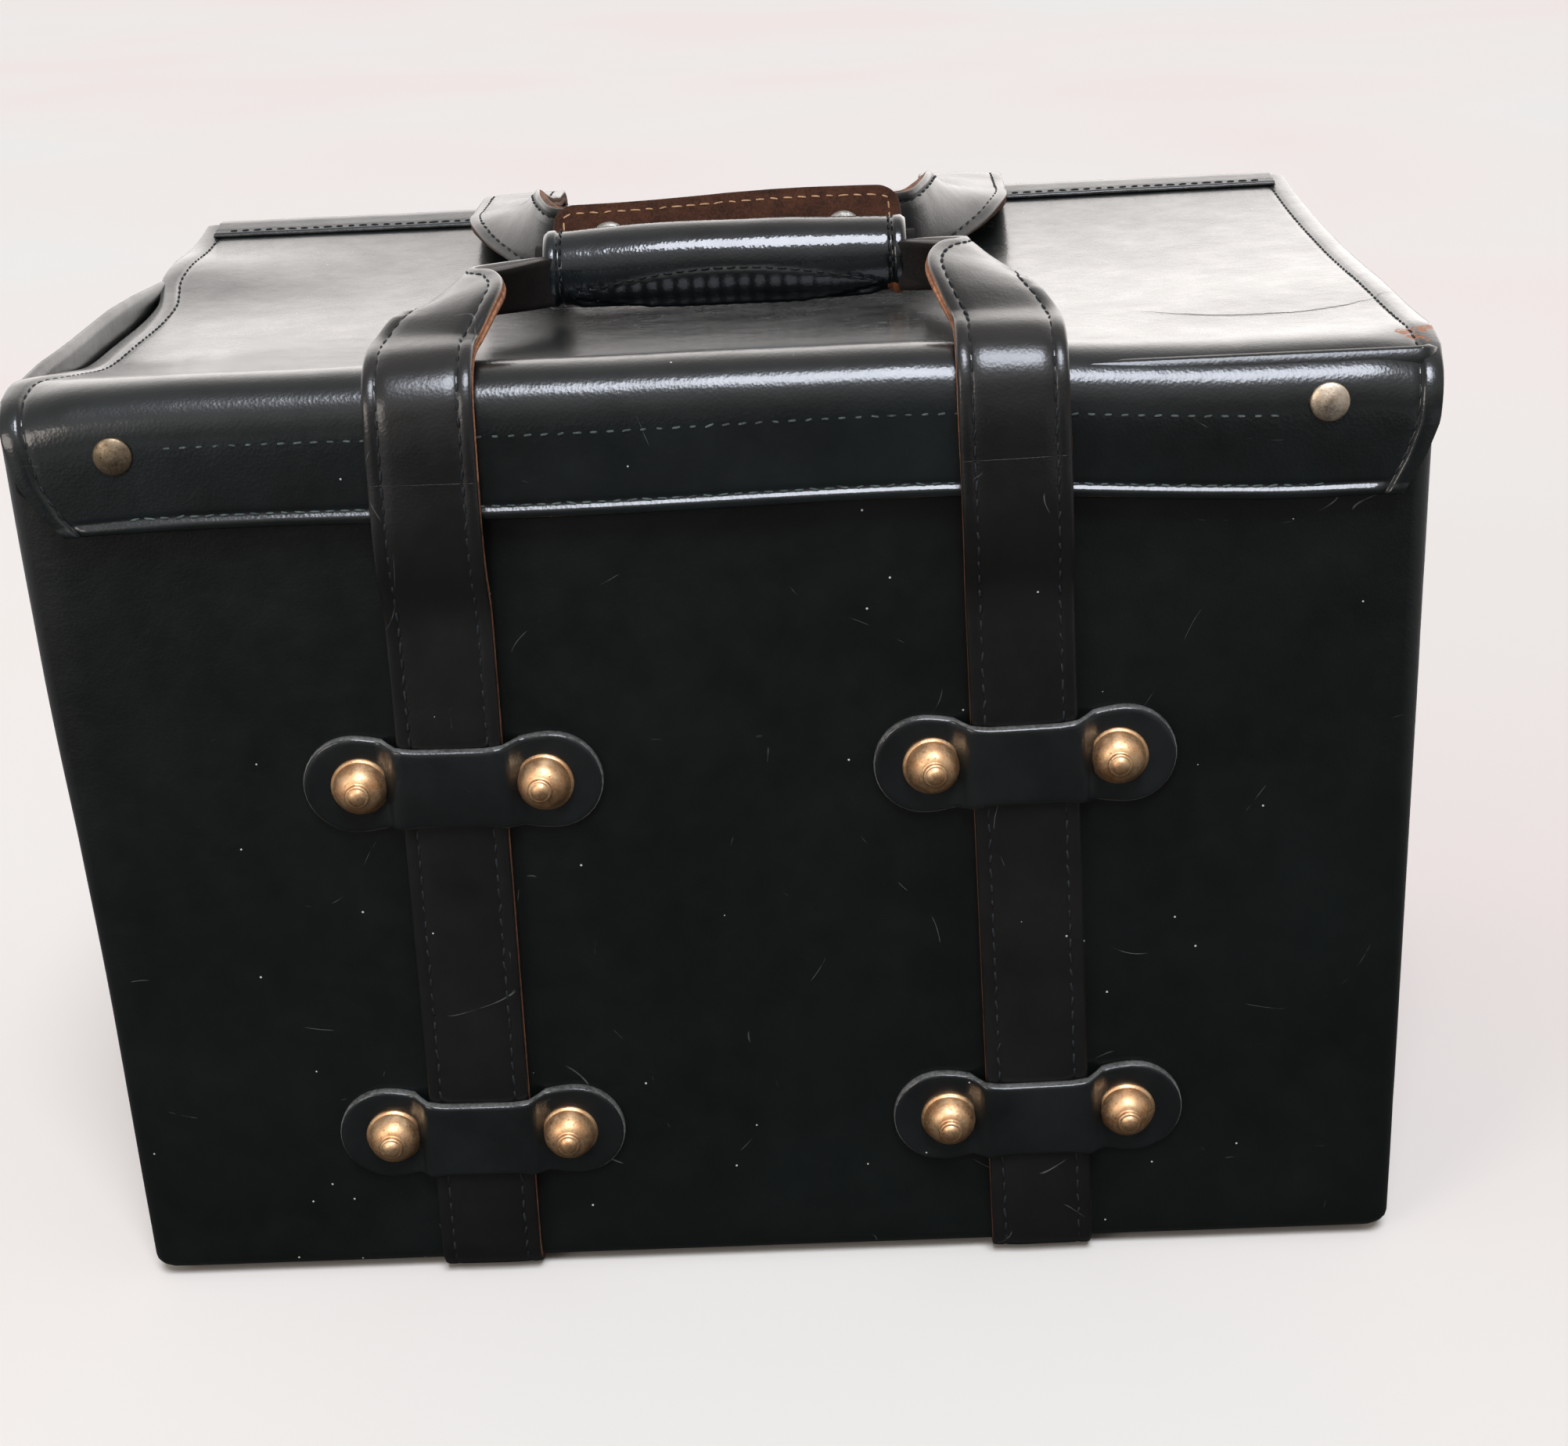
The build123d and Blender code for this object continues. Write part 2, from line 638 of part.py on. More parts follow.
wrap_bore = core_radius + 0.2
end_taper = 1.2
with BuildPart() as grip_wrap:
    grip_axis = Axis((0, grip_centre_y, grip_centre_z), (1, 0, 0))
    with BuildSketch(Plane((0, grip_centre_y, grip_centre_z), (1, 0, 0), (0, -1, 0))):
        with BuildLine():
            grip_half = grip_length / 2
            end_radius = grip_radius - end_taper
            Polyline((grip_half, end_radius), (grip_half, wrap_bore), (-grip_half, wrap_bore),
                     (-grip_half, end_radius))
            ThreePointArc((-grip_half, end_radius), (0, grip_radius), (grip_half, end_radius))
        make_face()
    revolve(axis=grip_axis)
    with BuildSketch(Plane.YZ.offset(-grip_length / 2 + 8.0)):
        with Locations((grip_centre_y - grip_radius + 3.4, grip_centre_z - 9.6)):
            Rectangle(6.0, 3.0, rotation=35)
    extrude(amount=grip_length - 16.0)
    with BuildSketch(Plane.YZ.offset(-grip_length)):
        with Locations((grip_centre_y, grip_centre_z)):
            Circle(wrap_bore)
    extrude(amount=2 * grip_length, mode=Mode.SUBTRACT)
save(grip_wrap.part, "grip_wrap")

# Wrap flap that stands open behind the grip, with its press stud sockets
wrap_root_y = grip_centre_y + grip_radius + running_gap
wrap_root_z = grip_centre_z - 2.0
wrap_lean = 8.0
wrap_thickness = 2.0
with BuildPart() as wrap_flap:
    with BuildSketch(Plane.YZ.offset(-grip_length / 2 + 1.0)):
        with BuildLine():
            tip_y = wrap_root_y + wrap_lean
            tip_z = wrap_root_z + wrap_height
            bulge = (wrap_root_y + wrap_lean * 0.2, wrap_root_z + wrap_height * 0.5)
            ThreePointArc((wrap_root_y, wrap_root_z), bulge, (tip_y, tip_z))
            Line((tip_y, tip_z), (tip_y + wrap_thickness, tip_z))
            ThreePointArc((tip_y + wrap_thickness, tip_z), (bulge[0] + wrap_thickness, bulge[1]),
                          (wrap_root_y + wrap_thickness, wrap_root_z))
            Line((wrap_root_y + wrap_thickness, wrap_root_z), (wrap_root_y, wrap_root_z))
        make_face()
    extrude(amount=grip_length - 2.0)
    with BuildSketch(Plane.XZ):
        with Locations((0, wrap_root_z)):
            RectangleRounded(grip_length - 2.0, 2 * wrap_height, 9.0)
    extrude(amount=far, both=True, mode=Mode.INTERSECT)
save(wrap_flap.part, "wrap_flap")

with BuildPart() as wrap_sockets:
    for side in (-1, 1):
        socket_seat = Plane((side * wrap_socket_offset, wrap_root_y + wrap_lean * 0.22,
                             wrap_root_z + wrap_height * 0.54), (1, 0, 0), (0, -1, 0.33))
        with BuildSketch(socket_seat):
            Circle(6.0)
        extrude(amount=1.6, taper=35)
save(wrap_sockets.part, "wrap_sockets")

# Ring tabs riveted to the ends, each holding a wire ring
tab_lean = (width_at_top - width_at_base) / 2 / (case_height - body_base_z)
eye_outer = ring_wire / 2 + 0.3 + 2.2
for side, side_name in ((-1, "left"), (1, "right")):
    bar_x = width_at(ring_bar_z) / 2 + end_bow * ring_bar_z / case_height + eye_outer + 0.1
    tab_face = width_at(ring_tab_top) / 2 + end_bow * ring_tab_top / case_height + 0.2
    with BuildPart() as ring_tab:
        with BuildSketch(Plane.XZ.offset(-ring_tab_width / 2)):
            with BuildLine():
                Polyline((side * tab_face, ring_tab_top), (side * (tab_face + 2.6), ring_tab_top),
                         (side * (bar_x + 1.0), ring_bar_z + 2.0), (side * (bar_x - 2.0), ring_bar_z - 2.0),
                         close=True)
            make_face()
            with Locations((side * bar_x, ring_bar_z)):
                Circle(eye_outer)
                Circle(ring_wire / 2 + running_gap, mode=Mode.SUBTRACT)
        extrude(amount=ring_tab_width)
    save(ring_tab.part, f"{side_name}_ring_tab")
    with BuildPart() as d_ring:
        half = ring_width / 2
        with BuildLine(Plane((side * bar_x, 0, ring_bar_z), (0, 1, 0), (1, 0, 0))) as path:
            Line((-half, 0), (half, 0))
            Line((half, 0), (half, -ring_drop + half))
            CenterArc((0, -ring_drop + half), half, 0, -180)
            Line((-half, -ring_drop + half), (-half, 0))
        with BuildSketch(Plane((side * bar_x, 0, ring_bar_z), (1, 0, 0), (0, 1, 0))):
            Circle(ring_wire / 2)
        sweep(path=path.wire(), transition=Transition.ROUND)
    save(d_ring.part, f"{side_name}_d_ring")
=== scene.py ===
# %% [markdown]
# A black leather camera case, dressed on its fixed mechanical frame. The frame brings every
# rigid and soft piece at its real size. The cells below give the case its looks: hides with a
# sag and a sheen, straps with cut edges and stitches, turned brass studs and a padded grip.

# %% Load the frame
import bmesh
import bpy
import math
import numpy as np
from mathutils import Matrix, Vector, noise


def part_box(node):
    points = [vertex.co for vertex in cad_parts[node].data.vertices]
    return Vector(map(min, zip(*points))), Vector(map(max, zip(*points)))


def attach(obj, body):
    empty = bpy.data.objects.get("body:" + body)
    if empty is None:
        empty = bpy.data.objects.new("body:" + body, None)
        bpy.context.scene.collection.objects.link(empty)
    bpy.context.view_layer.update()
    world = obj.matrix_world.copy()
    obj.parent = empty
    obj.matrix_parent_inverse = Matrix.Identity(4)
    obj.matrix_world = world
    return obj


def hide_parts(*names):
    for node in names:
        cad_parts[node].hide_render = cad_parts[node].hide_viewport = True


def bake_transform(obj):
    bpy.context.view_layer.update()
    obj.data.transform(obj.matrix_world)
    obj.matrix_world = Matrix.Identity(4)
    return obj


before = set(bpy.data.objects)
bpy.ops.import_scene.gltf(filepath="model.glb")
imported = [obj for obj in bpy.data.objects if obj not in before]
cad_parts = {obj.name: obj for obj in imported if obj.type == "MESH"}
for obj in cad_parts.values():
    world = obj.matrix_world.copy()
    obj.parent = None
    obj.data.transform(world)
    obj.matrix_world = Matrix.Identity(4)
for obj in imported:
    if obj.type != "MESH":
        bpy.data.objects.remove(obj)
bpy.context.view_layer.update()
MM = 0.001
random = np.random.default_rng(7)

# %% [markdown]
# The camera comes first, because every later choice is judged through it. The photograph was
# taken from the front at chest height with the lens tipped down, so its place, its angles and
# its lens are written as the real values that line up the case's corners.

# %% Camera
PHOTO_WIDTH = 2004
LENS_PIXELS = 3245
SENSOR_WIDTH = 36.0
camera_place = Vector((38, -861, 457)) * MM
yaw, pitch, roll = (math.radians(a) for a in (-1.86, 20.51, -3.04))
ahead = Vector((math.sin(yaw) * math.cos(pitch), math.cos(yaw) * math.cos(pitch), -math.sin(pitch)))
level_right = Vector((math.cos(yaw), -math.sin(yaw), 0))
level_up = level_right.cross(ahead)
right = level_right * math.cos(roll) + level_up * math.sin(roll)
up = level_up * math.cos(roll) - level_right * math.sin(roll)
camera = bpy.data.objects.new("camera", bpy.data.cameras.new("camera"))
bpy.context.scene.collection.objects.link(camera)
camera.data.lens = LENS_PIXELS / PHOTO_WIDTH * SENSOR_WIDTH
camera.data.sensor_width = SENSOR_WIDTH
camera.data.sensor_fit = "HORIZONTAL"
turn = Matrix((right, up, -ahead)).transposed()
camera.matrix_world = Matrix.Translation(camera_place) @ turn.to_4x4()
bpy.context.scene.camera = camera
print("lens in mm", round(camera.data.lens, 1))

# %% [markdown]
# Every finish below is a small network of nodes. One helper adds a node with its settings and
# links, and one turns sRGB hex codes, the way a designer writes a colour, into linear light.

# %% Colour and node helpers


def linear(code):
    """Linear colour of an sRGB hex code, with its alpha."""
    parts = [int(code[i:i + 2], 16) / 255 for i in (1, 3, 5)]
    return [p / 12.92 if p <= 0.04045 else ((p + 0.055) / 1.055) ** 2.4 for p in parts] + [1.0]


def node(tree, kind, inputs=(), stops=(), **settings):
    """Adds one node and returns it. Its inputs are given by name or in order. Each one is a
    constant, or a socket to link, or a node, whose first output is then linked."""
    made = tree.nodes.new("ShaderNode" + kind)
    for name, value in settings.items():
        setattr(made, name, value)
    for name, value in (inputs if isinstance(inputs, dict) else dict(enumerate(inputs))).items():
        if isinstance(value, bpy.types.Node):
            value = value.outputs[0]
        if isinstance(value, bpy.types.NodeSocket):
            tree.links.new(value, made.inputs[name])
        elif value is not None:
            made.inputs[name].default_value = value
    for index, (place, tone) in enumerate(stops):
        elements = made.color_ramp.elements
        element = elements.new(place) if index > 1 else elements[index]
        element.position = place
        element.color = linear(tone) if isinstance(tone, str) else (tone, tone, tone, 1)
    return made


def blank_finish(name):
    """A new material with an empty tree, and the socket that places a pattern on the object."""
    made = bpy.data.materials.new(name)
    made.use_nodes = True
    made.node_tree.nodes.clear()
    return made, made.node_tree, node(made.node_tree, "TexCoord").outputs["Object"]


# %% [markdown]
# A product photograph of black leather lives on what the leather mirrors. A soft lamp high in
# front draws the long highlight on every rolled edge. A pale surround low behind the case turns
# the lid silver at a grazing angle. The floor is plain and pale and keeps the case's shadow, but
# in front of the case it is dim in reflections, so the front stays black.

# %% Surround and lamps
scene = bpy.context.scene
scene.view_settings.view_transform = "Standard"
scene.world = bpy.data.worlds.new("studio")
scene.world.use_nodes = True
sky = scene.world.node_tree
sky.nodes.clear()
compass = node(sky, "SeparateXYZ", [node(sky, "TexCoord").outputs["Generated"]]).outputs
low_band = node(sky, "ValToRGB", [compass["Z"]],
                stops=[(0.0, 1.0), (0.12, 1.0), (0.42, 0.78), (0.62, 0.45), (0.85, 0.10)])
rearness = node(sky, "MapRange", {"Value": compass["Y"], "From Min": -0.2, "From Max": 0.6,
                                  "To Min": 0.0, "To Max": 2.12})
from_left = node(sky, "MapRange", {"Value": compass["X"], "From Min": -0.35, "From Max": 0.25,
                                   "To Min": 0.70, "To Max": 1.05})
rearness = node(sky, "Math", [rearness, from_left], operation="MULTIPLY")
dome = node(sky, "ValToRGB", [compass["Z"]],
            stops=[(0.0, 0.10), (0.15, 0.26), (0.45, 0.58), (0.9, 0.40)])
mirrored = node(sky, "Math", [low_band, rearness, dome], operation="MULTIPLY_ADD")
path = node(sky, "LightPath").outputs
shiny = node(sky, "Math", [path["Is Glossy Ray"], path["Is Transmission Ray"]],
             operation="ADD", use_clamp=True)
lit = node(sky, "Mix", {"Factor": shiny, "A": 0.40, "B": mirrored})
seen = node(sky, "Mix", {"Factor": path["Is Camera Ray"], "A": lit, "B": 0.93})
pale = node(sky, "Background", {"Color": linear("#f7f2ef"), "Strength": seen})
node(sky, "OutputWorld", {"Surface": pale})


def lamp(name, kind, place, target, energy, tone, **settings):
    """Adds a lamp at a place in metres that faces its target."""
    data = bpy.data.lights.new(name, kind)
    data.energy = energy
    data.color = linear(tone)[:3]
    for setting, value in settings.items():
        setattr(data, setting, value)
    made = bpy.data.objects.new(name, data)
    made.location = Vector(place)
    made.rotation_euler = (Vector(target) - Vector(place)).to_track_quat("-Z", "Y").to_euler()
    scene.collection.objects.link(made)


lamp("high_front", "SUN", (0.08, -0.62, 1.0), (0, 0, 0), 2.9, "#eef3ff", angle=math.radians(26))
lamp("front_left", "AREA", (-1.5, -1.8, 1.0), (0, 0, 0.15), 13, "#fff6ee", size=0.9)

# %% Floor
FLOOR_REACH = 60.0
floor_mesh = bpy.data.meshes.new("floor")
floor_mesh.from_pydata([(x * FLOOR_REACH, y * FLOOR_REACH, 0)
                        for x, y in ((-1, -1), (1, -1), (1, 1), (-1, 1))], [], [(0, 1, 2, 3)])
floor = bpy.data.objects.new("floor", floor_mesh)
scene.collection.objects.link(floor)
paper, tree, spot = blank_finish("matte_paper_sweep")
cloud = node(tree, "TexNoise", {"Vector": spot, "Scale": 1.3, "Detail": 1.0})
tint = node(tree, "ValToRGB", [cloud], stops=[(0.3, "#ece0d8"), (0.7, "#e8e5dd")])
in_mirror = node(tree, "LightPath").outputs["Is Glossy Ray"]
axes = node(tree, "SeparateXYZ", [spot]).outputs
sideways = node(tree, "Math", [axes["X"]], operation="ABSOLUTE")
aside = node(tree, "MapRange", {"Value": sideways, "From Min": 0.45, "From Max": 1.1})
behind = node(tree, "MapRange", {"Value": axes["Y"], "From Min": -0.1, "From Max": 0.5})
open_floor = node(tree, "Math", [aside, behind], operation="MAXIMUM")
shaded = node(tree, "MixRGB", [open_floor, linear("#3e3d3c"), linear("#a5a3a0")])
dim = node(tree, "MixRGB", [in_mirror, tint, shaded])
node(tree, "OutputMaterial", [node(tree, "BsdfDiffuse", [dim])])
floor_mesh.materials.append(paper)
print("floor reaches to m", FLOOR_REACH)

# %% [markdown]
# Leather pieces are built from grids of points: a grid follows the hide, and the faces between
# its points make the skin. One collector holds all the grids of a piece, so that a strap, its
# cut edges and its stitches become one mesh with several finishes.

# %% Grids of points made into one mesh


def unit(v):
    """The same vectors at length 1."""
    return v / np.maximum(np.linalg.norm(v, axis=-1, keepdims=True), 1e-9)


def ease(x, low, high):
    """Smooth step from 0 at low to 1 at high."""
    t = np.clip((np.asarray(x, float) - low) / (high - low), 0, 1)
    return t * t * (3 - 2 * t)


def waves(points, size):
    """Smooth noise at each point, with waves of about a size in mm."""
    return np.reshape([noise.noise(Vector(p) / size) for p in points.reshape(-1, 3)],
                      points.shape[:-1])


class Skin:
    """Collects grids of points in mm, with a finish number for each face."""

    def __init__(self):
        self.points, self.faces, self.finish, self.smooth, self.count = [], [], [], [], 0

    def grid(self, rows, finish=0, loop=False, smooth=True):
        """Adds a grid of points, which a loop closes round, and the faces between them."""
        rows = np.asarray(rows, float)
        index = self.count + np.arange(rows.shape[0] * rows.shape[1]).reshape(rows.shape[:2])
        self.count += index.size
        if loop:
            index = np.concatenate([index, index[:, :1]], 1)
        quads = np.stack([index[:-1, :-1], index[1:, :-1], index[1:, 1:], index[:-1, 1:]], -1)
        self.points.append(rows.reshape(-1, 3))
        self.faces.append(quads.reshape(-1, 4))
        self.finish.append(np.broadcast_to(finish, quads.shape[:2]).reshape(-1))
        self.smooth.append(np.full(quads.shape[0] * quads.shape[1], smooth))

    def sheet(self, face, back, finishes=(0, 0, 0), rim_rows=2):
        """Adds a sheet, with a finish for its face, its back and the rim between them."""
        self.grid(face, finishes[0])
        self.grid(back, finishes[1])
        share = np.linspace(0, 1, rim_rows)[:, None, None]
        for side in (np.s_[0], np.s_[-1], np.s_[:, 0], np.s_[:, -1]):
            self.grid(face[side] * (1 - share) + back[side] * share, finishes[2])

    def sew(self, name, finishes, replaces=()):
        """Makes the mesh object, welds points that meet and turns the faces outward."""
        mesh = bpy.data.meshes.new(name)
        mesh.from_pydata((np.concatenate(self.points) * MM).tolist(), [],
                         np.concatenate(self.faces).tolist())
        mesh.polygons.foreach_set("material_index", np.concatenate(self.finish).astype(np.int32))
        mesh.polygons.foreach_set("use_smooth", np.concatenate(self.smooth))
        work = bmesh.new()
        work.from_mesh(mesh)
        bmesh.ops.remove_doubles(work, verts=work.verts, dist=0.004 * MM)
        bmesh.ops.recalc_face_normals(work, faces=work.faces)
        work.to_mesh(mesh)
        work.free()
        piece = bpy.data.objects.new(name, mesh)
        scene.collection.objects.link(piece)
        for finish in finishes:
            mesh.materials.append(finish)
        if replaces:
            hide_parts(*replaces)
        print(name, "faces", len(mesh.polygons))
        return piece


def through(keys, spacing):
    """Rows every `spacing` mm on a smooth curve through the keys; the first three columns are
    the place, and any further columns ride along."""
    keys = np.asarray(keys, float)
    knots = np.concatenate([[0], np.cumsum(np.linalg.norm(np.diff(keys[:, :3], axis=0), axis=1))])
    slopes = np.gradient(keys, knots, axis=0)
    t = np.linspace(0, knots[-1], 600)
    i = np.clip(np.searchsorted(knots, t, side="right") - 1, 0, len(knots) - 2)
    h = (knots[i + 1] - knots[i])[:, None]
    u = (t - knots[i])[:, None] / h
    fine = ((2 * u**3 - 3 * u**2 + 1) * keys[i] + (u**3 - 2 * u**2 + u) * h * slopes[i]
            + (3 * u**2 - 2 * u**3) * keys[i + 1] + (u**3 - u**2) * h * slopes[i + 1])
    return evenly(fine, spacing)


def evenly(line, spacing):
    """The same line with its rows spaced evenly along its length."""
    run = np.concatenate([[0], np.cumsum(np.linalg.norm(np.diff(line[:, :3], axis=0), axis=1))])
    places = np.linspace(0, run[-1], max(2, round(run[-1] / spacing) + 1))
    return np.stack([np.interp(places, run, column) for column in line.T], 1)


# %% [markdown]
# Stitches on saddlery are short beads of waxed thread that dip into the leather at both ends.
# Drawing them in a bump map leaves them flat at the edges of the strap, so each one is a small
# real bead, laid along its seam line and sunk a little at its tips.

# %% Stitches
BEAD_SIDES = 6


def stitch_row(skin, line, normals, finish, pitch=5.0, length=3.5, radius=0.42, lift=0.12):
    """Lays beads of thread along a line of points with its outward normals."""
    both = evenly(np.concatenate([line, normals], 1), pitch)
    middles = (both[1:, :3] + both[:-1, :3]) / 2
    along = unit(both[1:, :3] - both[:-1, :3])
    outward = unit(both[1:, 3:] + both[:-1, 3:])
    across = unit(np.cross(along, outward))
    steps = np.array([-0.5, -0.38, -0.12, 0.12, 0.38, 0.5])
    girth = np.array([0.15, 0.8, 1.0, 1.0, 0.8, 0.15]) * radius
    sink = np.array([-0.55, -0.08, 0.0, 0.0, -0.08, -0.55]) * 2 * radius
    turns = np.arange(BEAD_SIDES) / BEAD_SIDES * 2 * math.pi
    for m, a, o, c in zip(middles, along, outward, across):
        size = length * (1 + 0.12 * random.standard_normal())
        skew = c * random.normal(0, 0.12)
        spine = m + steps[:, None] * size * (a + skew) + (sink + lift)[:, None] * o
        ring = np.cos(turns)[:, None] * c + np.sin(turns)[:, None] * o
        skin.grid(spine[:, None] + girth[:, None, None] * ring, finish, loop=True)


# %% [markdown]
# Black saddle leather is dyed hide under a polished wax coat. The eye reads three things in it:
# a near black base that goes slightly green or brown, a clear coat that turns to silver where
# the light grazes it, and the life it has had, in hair-thin scratches, dull rubbed areas and
# specks of dust. The grain of a finished hide is finer than a pixel here, so it is drawn a
# little coarse, at about a millimetre, to keep a skin that is not glass.

# %% Polished hide
GRAIN = 1.0


def hide(name, dark, light, coat, coat_roughness, roughness=0.42, wear=0.5, dust=0.5, crease=0.5,
         seed=0.0, torn=None, bent=None):
    """A coated leather; wear and dust are how much of them shows. Torn is the place in mm and
    the radius where the hide is rubbed through to its tan fibre; bent is the lowest point
    (x, y) and the curvature of a crease where the hide was once folded."""
    made, tree, place = blank_finish(name)
    mm = node(tree, "Mapping", {"Vector": place, "Scale": (1 / MM,) * 3,
                                "Location": (seed, seed * 0.7, seed * 1.3)})
    cloud = node(tree, "TexNoise", {"Vector": mm, "Scale": 1 / 48, "Detail": 4.0, "Roughness": 0.6})
    dye = node(tree, "ValToRGB", [cloud], stops=[(0.32, dark), (0.70, light)])
    rub = node(tree, "TexNoise", {"Vector": mm, "Scale": 1 / 14, "Detail": 5.0, "Roughness": 0.65})
    hair = node(tree, "TexNoise", {"Vector": mm, "Scale": 1 / 52, "Detail": 0.5, "Roughness": 0.4})
    hair_line = node(tree, "Math", [hair, 0.53, 0.0009], operation="COMPARE")
    patch = node(tree, "TexNoise", {"Vector": mm, "Scale": 1 / 11, "Detail": 2.0})
    some = node(tree, "MapRange", {"Value": patch, "From Min": 0.57, "From Max": 0.66})
    scratch = node(tree, "Math", [hair_line, some], operation="MULTIPLY")
    scratch = node(tree, "Math", [scratch, 0.42 * wear], operation="MULTIPLY")
    cells = node(tree, "TexVoronoi", {"Vector": mm, "Scale": 1 / 7.0, "Randomness": 1.0})
    speck = node(tree, "Math", [cells, 0.035 + 0.02 * dust], operation="LESS_THAN")
    chosen = node(tree, "SeparateColor", [cells.outputs["Color"]])
    lucky = node(tree, "Math", [chosen, 1 - 0.3 * dust], operation="GREATER_THAN")
    speck = node(tree, "Math", [speck, lucky], operation="MULTIPLY")
    scarred = node(tree, "MixRGB", [scratch, dye, linear("#6a6f6c")])
    tone = node(tree, "MixRGB", [speck, scarred, linear("#a9aeab")])
    shine = coat
    if torn:
        away = node(tree, "VectorMath", [place, [c * MM for c in torn[:3]]], operation="DISTANCE")
        near = node(tree, "MapRange", {"Value": away.outputs["Value"], "From Min": 0.0,
                                       "From Max": torn[3] * MM, "To Min": 0.62, "To Max": 0.25})
        ragged = node(tree, "TexNoise", {"Vector": mm, "Scale": 1 / 4.5, "Detail": 5.0, "Roughness": 0.7})
        lost = node(tree, "Math", [ragged, near], operation="LESS_THAN")
        tone = node(tree, "MixRGB", [lost, tone, linear("#9c6444")])
        shine = node(tree, "Math", [lost, -coat, coat], operation="MULTIPLY_ADD")
    rough = node(tree, "MapRange", {"Value": rub, "From Min": 0.3, "From Max": 0.75,
                                    "To Min": roughness - 0.08, "To Max": roughness + 0.14})
    pebble = node(tree, "TexVoronoi", {"Vector": mm, "Scale": 1 / GRAIN, "Randomness": 1.0})
    fold = node(tree, "TexNoise", {"Vector": mm, "Scale": 1 / 9.0, "Detail": 3.0, "Roughness": 0.55})
    swell = node(tree, "TexNoise", {"Vector": mm, "Scale": 1 / 55.0, "Detail": 1.0})
    bump = None
    for height, depth in ((swell, 0.7 * MM * crease), (fold, 0.24 * MM * crease), (pebble, 0.028 * MM)):
        bump = node(tree, "Bump", {"Height": height, "Strength": 1.0, "Distance": depth, "Normal": bump})
    if bent:
        axes = node(tree, "SeparateXYZ", [place]).outputs
        beside = node(tree, "Math", [axes["X"], bent[0] * MM], operation="SUBTRACT")
        square = node(tree, "Math", [beside, 2.0], operation="POWER")
        line = node(tree, "Math", [square, bent[2] / MM, bent[1] * MM], operation="MULTIPLY_ADD")
        stray = node(tree, "Math", [rub, 7 * MM, line], operation="MULTIPLY_ADD")
        gap = node(tree, "Math", [axes["Y"], stray], operation="SUBTRACT")
        gap = node(tree, "Math", [gap], operation="ABSOLUTE")
        gap = node(tree, "MapRange", {"Value": gap, "From Min": 0.0, "From Max": 1.6 * MM})
        far = node(tree, "Math", [beside], operation="ABSOLUTE")
        fade = node(tree, "MapRange", {"Value": far, "From Min": 24 * MM, "From Max": 42 * MM})
        gap = node(tree, "Math", [gap, fade], operation="MAXIMUM")
        bump = node(tree, "Bump", {"Height": gap, "Strength": 1.0, "Distance": 0.4 * MM, "Normal": bump})
    skin = node(tree, "BsdfPrincipled", {
        "Base Color": tone, "Roughness": rough, "Normal": bump, "Coat Normal": bump, "IOR": 1.5,
        "Specular IOR Level": 0.20, "Coat Weight": shine, "Coat Roughness": coat_roughness,
        "Coat IOR": 1.5})
    node(tree, "OutputMaterial", [skin])
    return made


case_hide = hide("case_hide_black_waxed", "#060908", "#0b1110", coat=0.8, coat_roughness=0.24,
                 wear=1.0, dust=0.7, crease=0.7)
lid_hide = hide("lid_hide_black_polished", "#070b0b", "#111819", coat=1.0, coat_roughness=0.18,
                roughness=0.38, wear=0.9, dust=0.5, crease=0.46, seed=40,
                torn=(204, -127, 300, 15), bent=(168, -92, 0.010))
strap_hide = hide("strap_hide_black_bridle", "#0a0a09", "#141413", coat=0.9, coat_roughness=0.24,
                  roughness=0.44, wear=1.0, dust=0.5, seed=90)
grip_hide = hide("grip_hide_black_glazed", "#070a0b", "#10171a", coat=1.0, coat_roughness=0.10,
                 roughness=0.36, wear=0.4, dust=0.2, crease=0.5, seed=140,
                 torn=(56, -34, 297, 9))
binding_hide = hide("binding_hide_black_worn", "#101415", "#1f2425", coat=0.8, coat_roughness=0.22,
                    roughness=0.46, wear=1.4, dust=0.6, seed=190)
print("hides", [m.name for m in bpy.data.materials if "hide" in m.name])

# %% [markdown]
# A strap's cut edge shows the undyed fibre of the hide, burnished dark by use but still tan
# where it rubs. Thread is waxed linen: dull, and near black. Suede is a napped split, which
# scatters light softly, so it has a sheen instead of a coat.

# %% Fibre finishes


def fibre(name, dark, light, scale, roughness, depth, sheen=0.0):
    """A matt, fibrous finish; scale is the fibre's size and depth its relief, both in mm."""
    made, tree, place = blank_finish(name)
    mm = node(tree, "Mapping", {"Vector": place, "Scale": (1 / MM,) * 3})
    blotch = node(tree, "TexNoise", {"Vector": mm, "Scale": 1 / (9 * scale), "Detail": 4.0,
                                     "Roughness": 0.65})
    nap = node(tree, "TexNoise", {"Vector": mm, "Scale": 1 / scale, "Detail": 3.0, "Roughness": 0.7})
    both = node(tree, "Math", [blotch, nap], operation="ADD")
    half = node(tree, "Math", [both, 0.5], operation="MULTIPLY")
    dye = node(tree, "ValToRGB", [half], stops=[(0.36, dark), (0.62, light)])
    bump = node(tree, "Bump", {"Height": nap, "Strength": 1.0, "Distance": depth * MM})
    skin = node(tree, "BsdfPrincipled", {
        "Base Color": dye, "Roughness": roughness, "Normal": bump, "IOR": 1.5,
        "Specular IOR Level": 0.25, "Sheen Weight": sheen, "Sheen Roughness": 0.45,
        "Sheen Tint": linear("#c9a58c")})
    node(tree, "OutputMaterial", [skin])
    return made


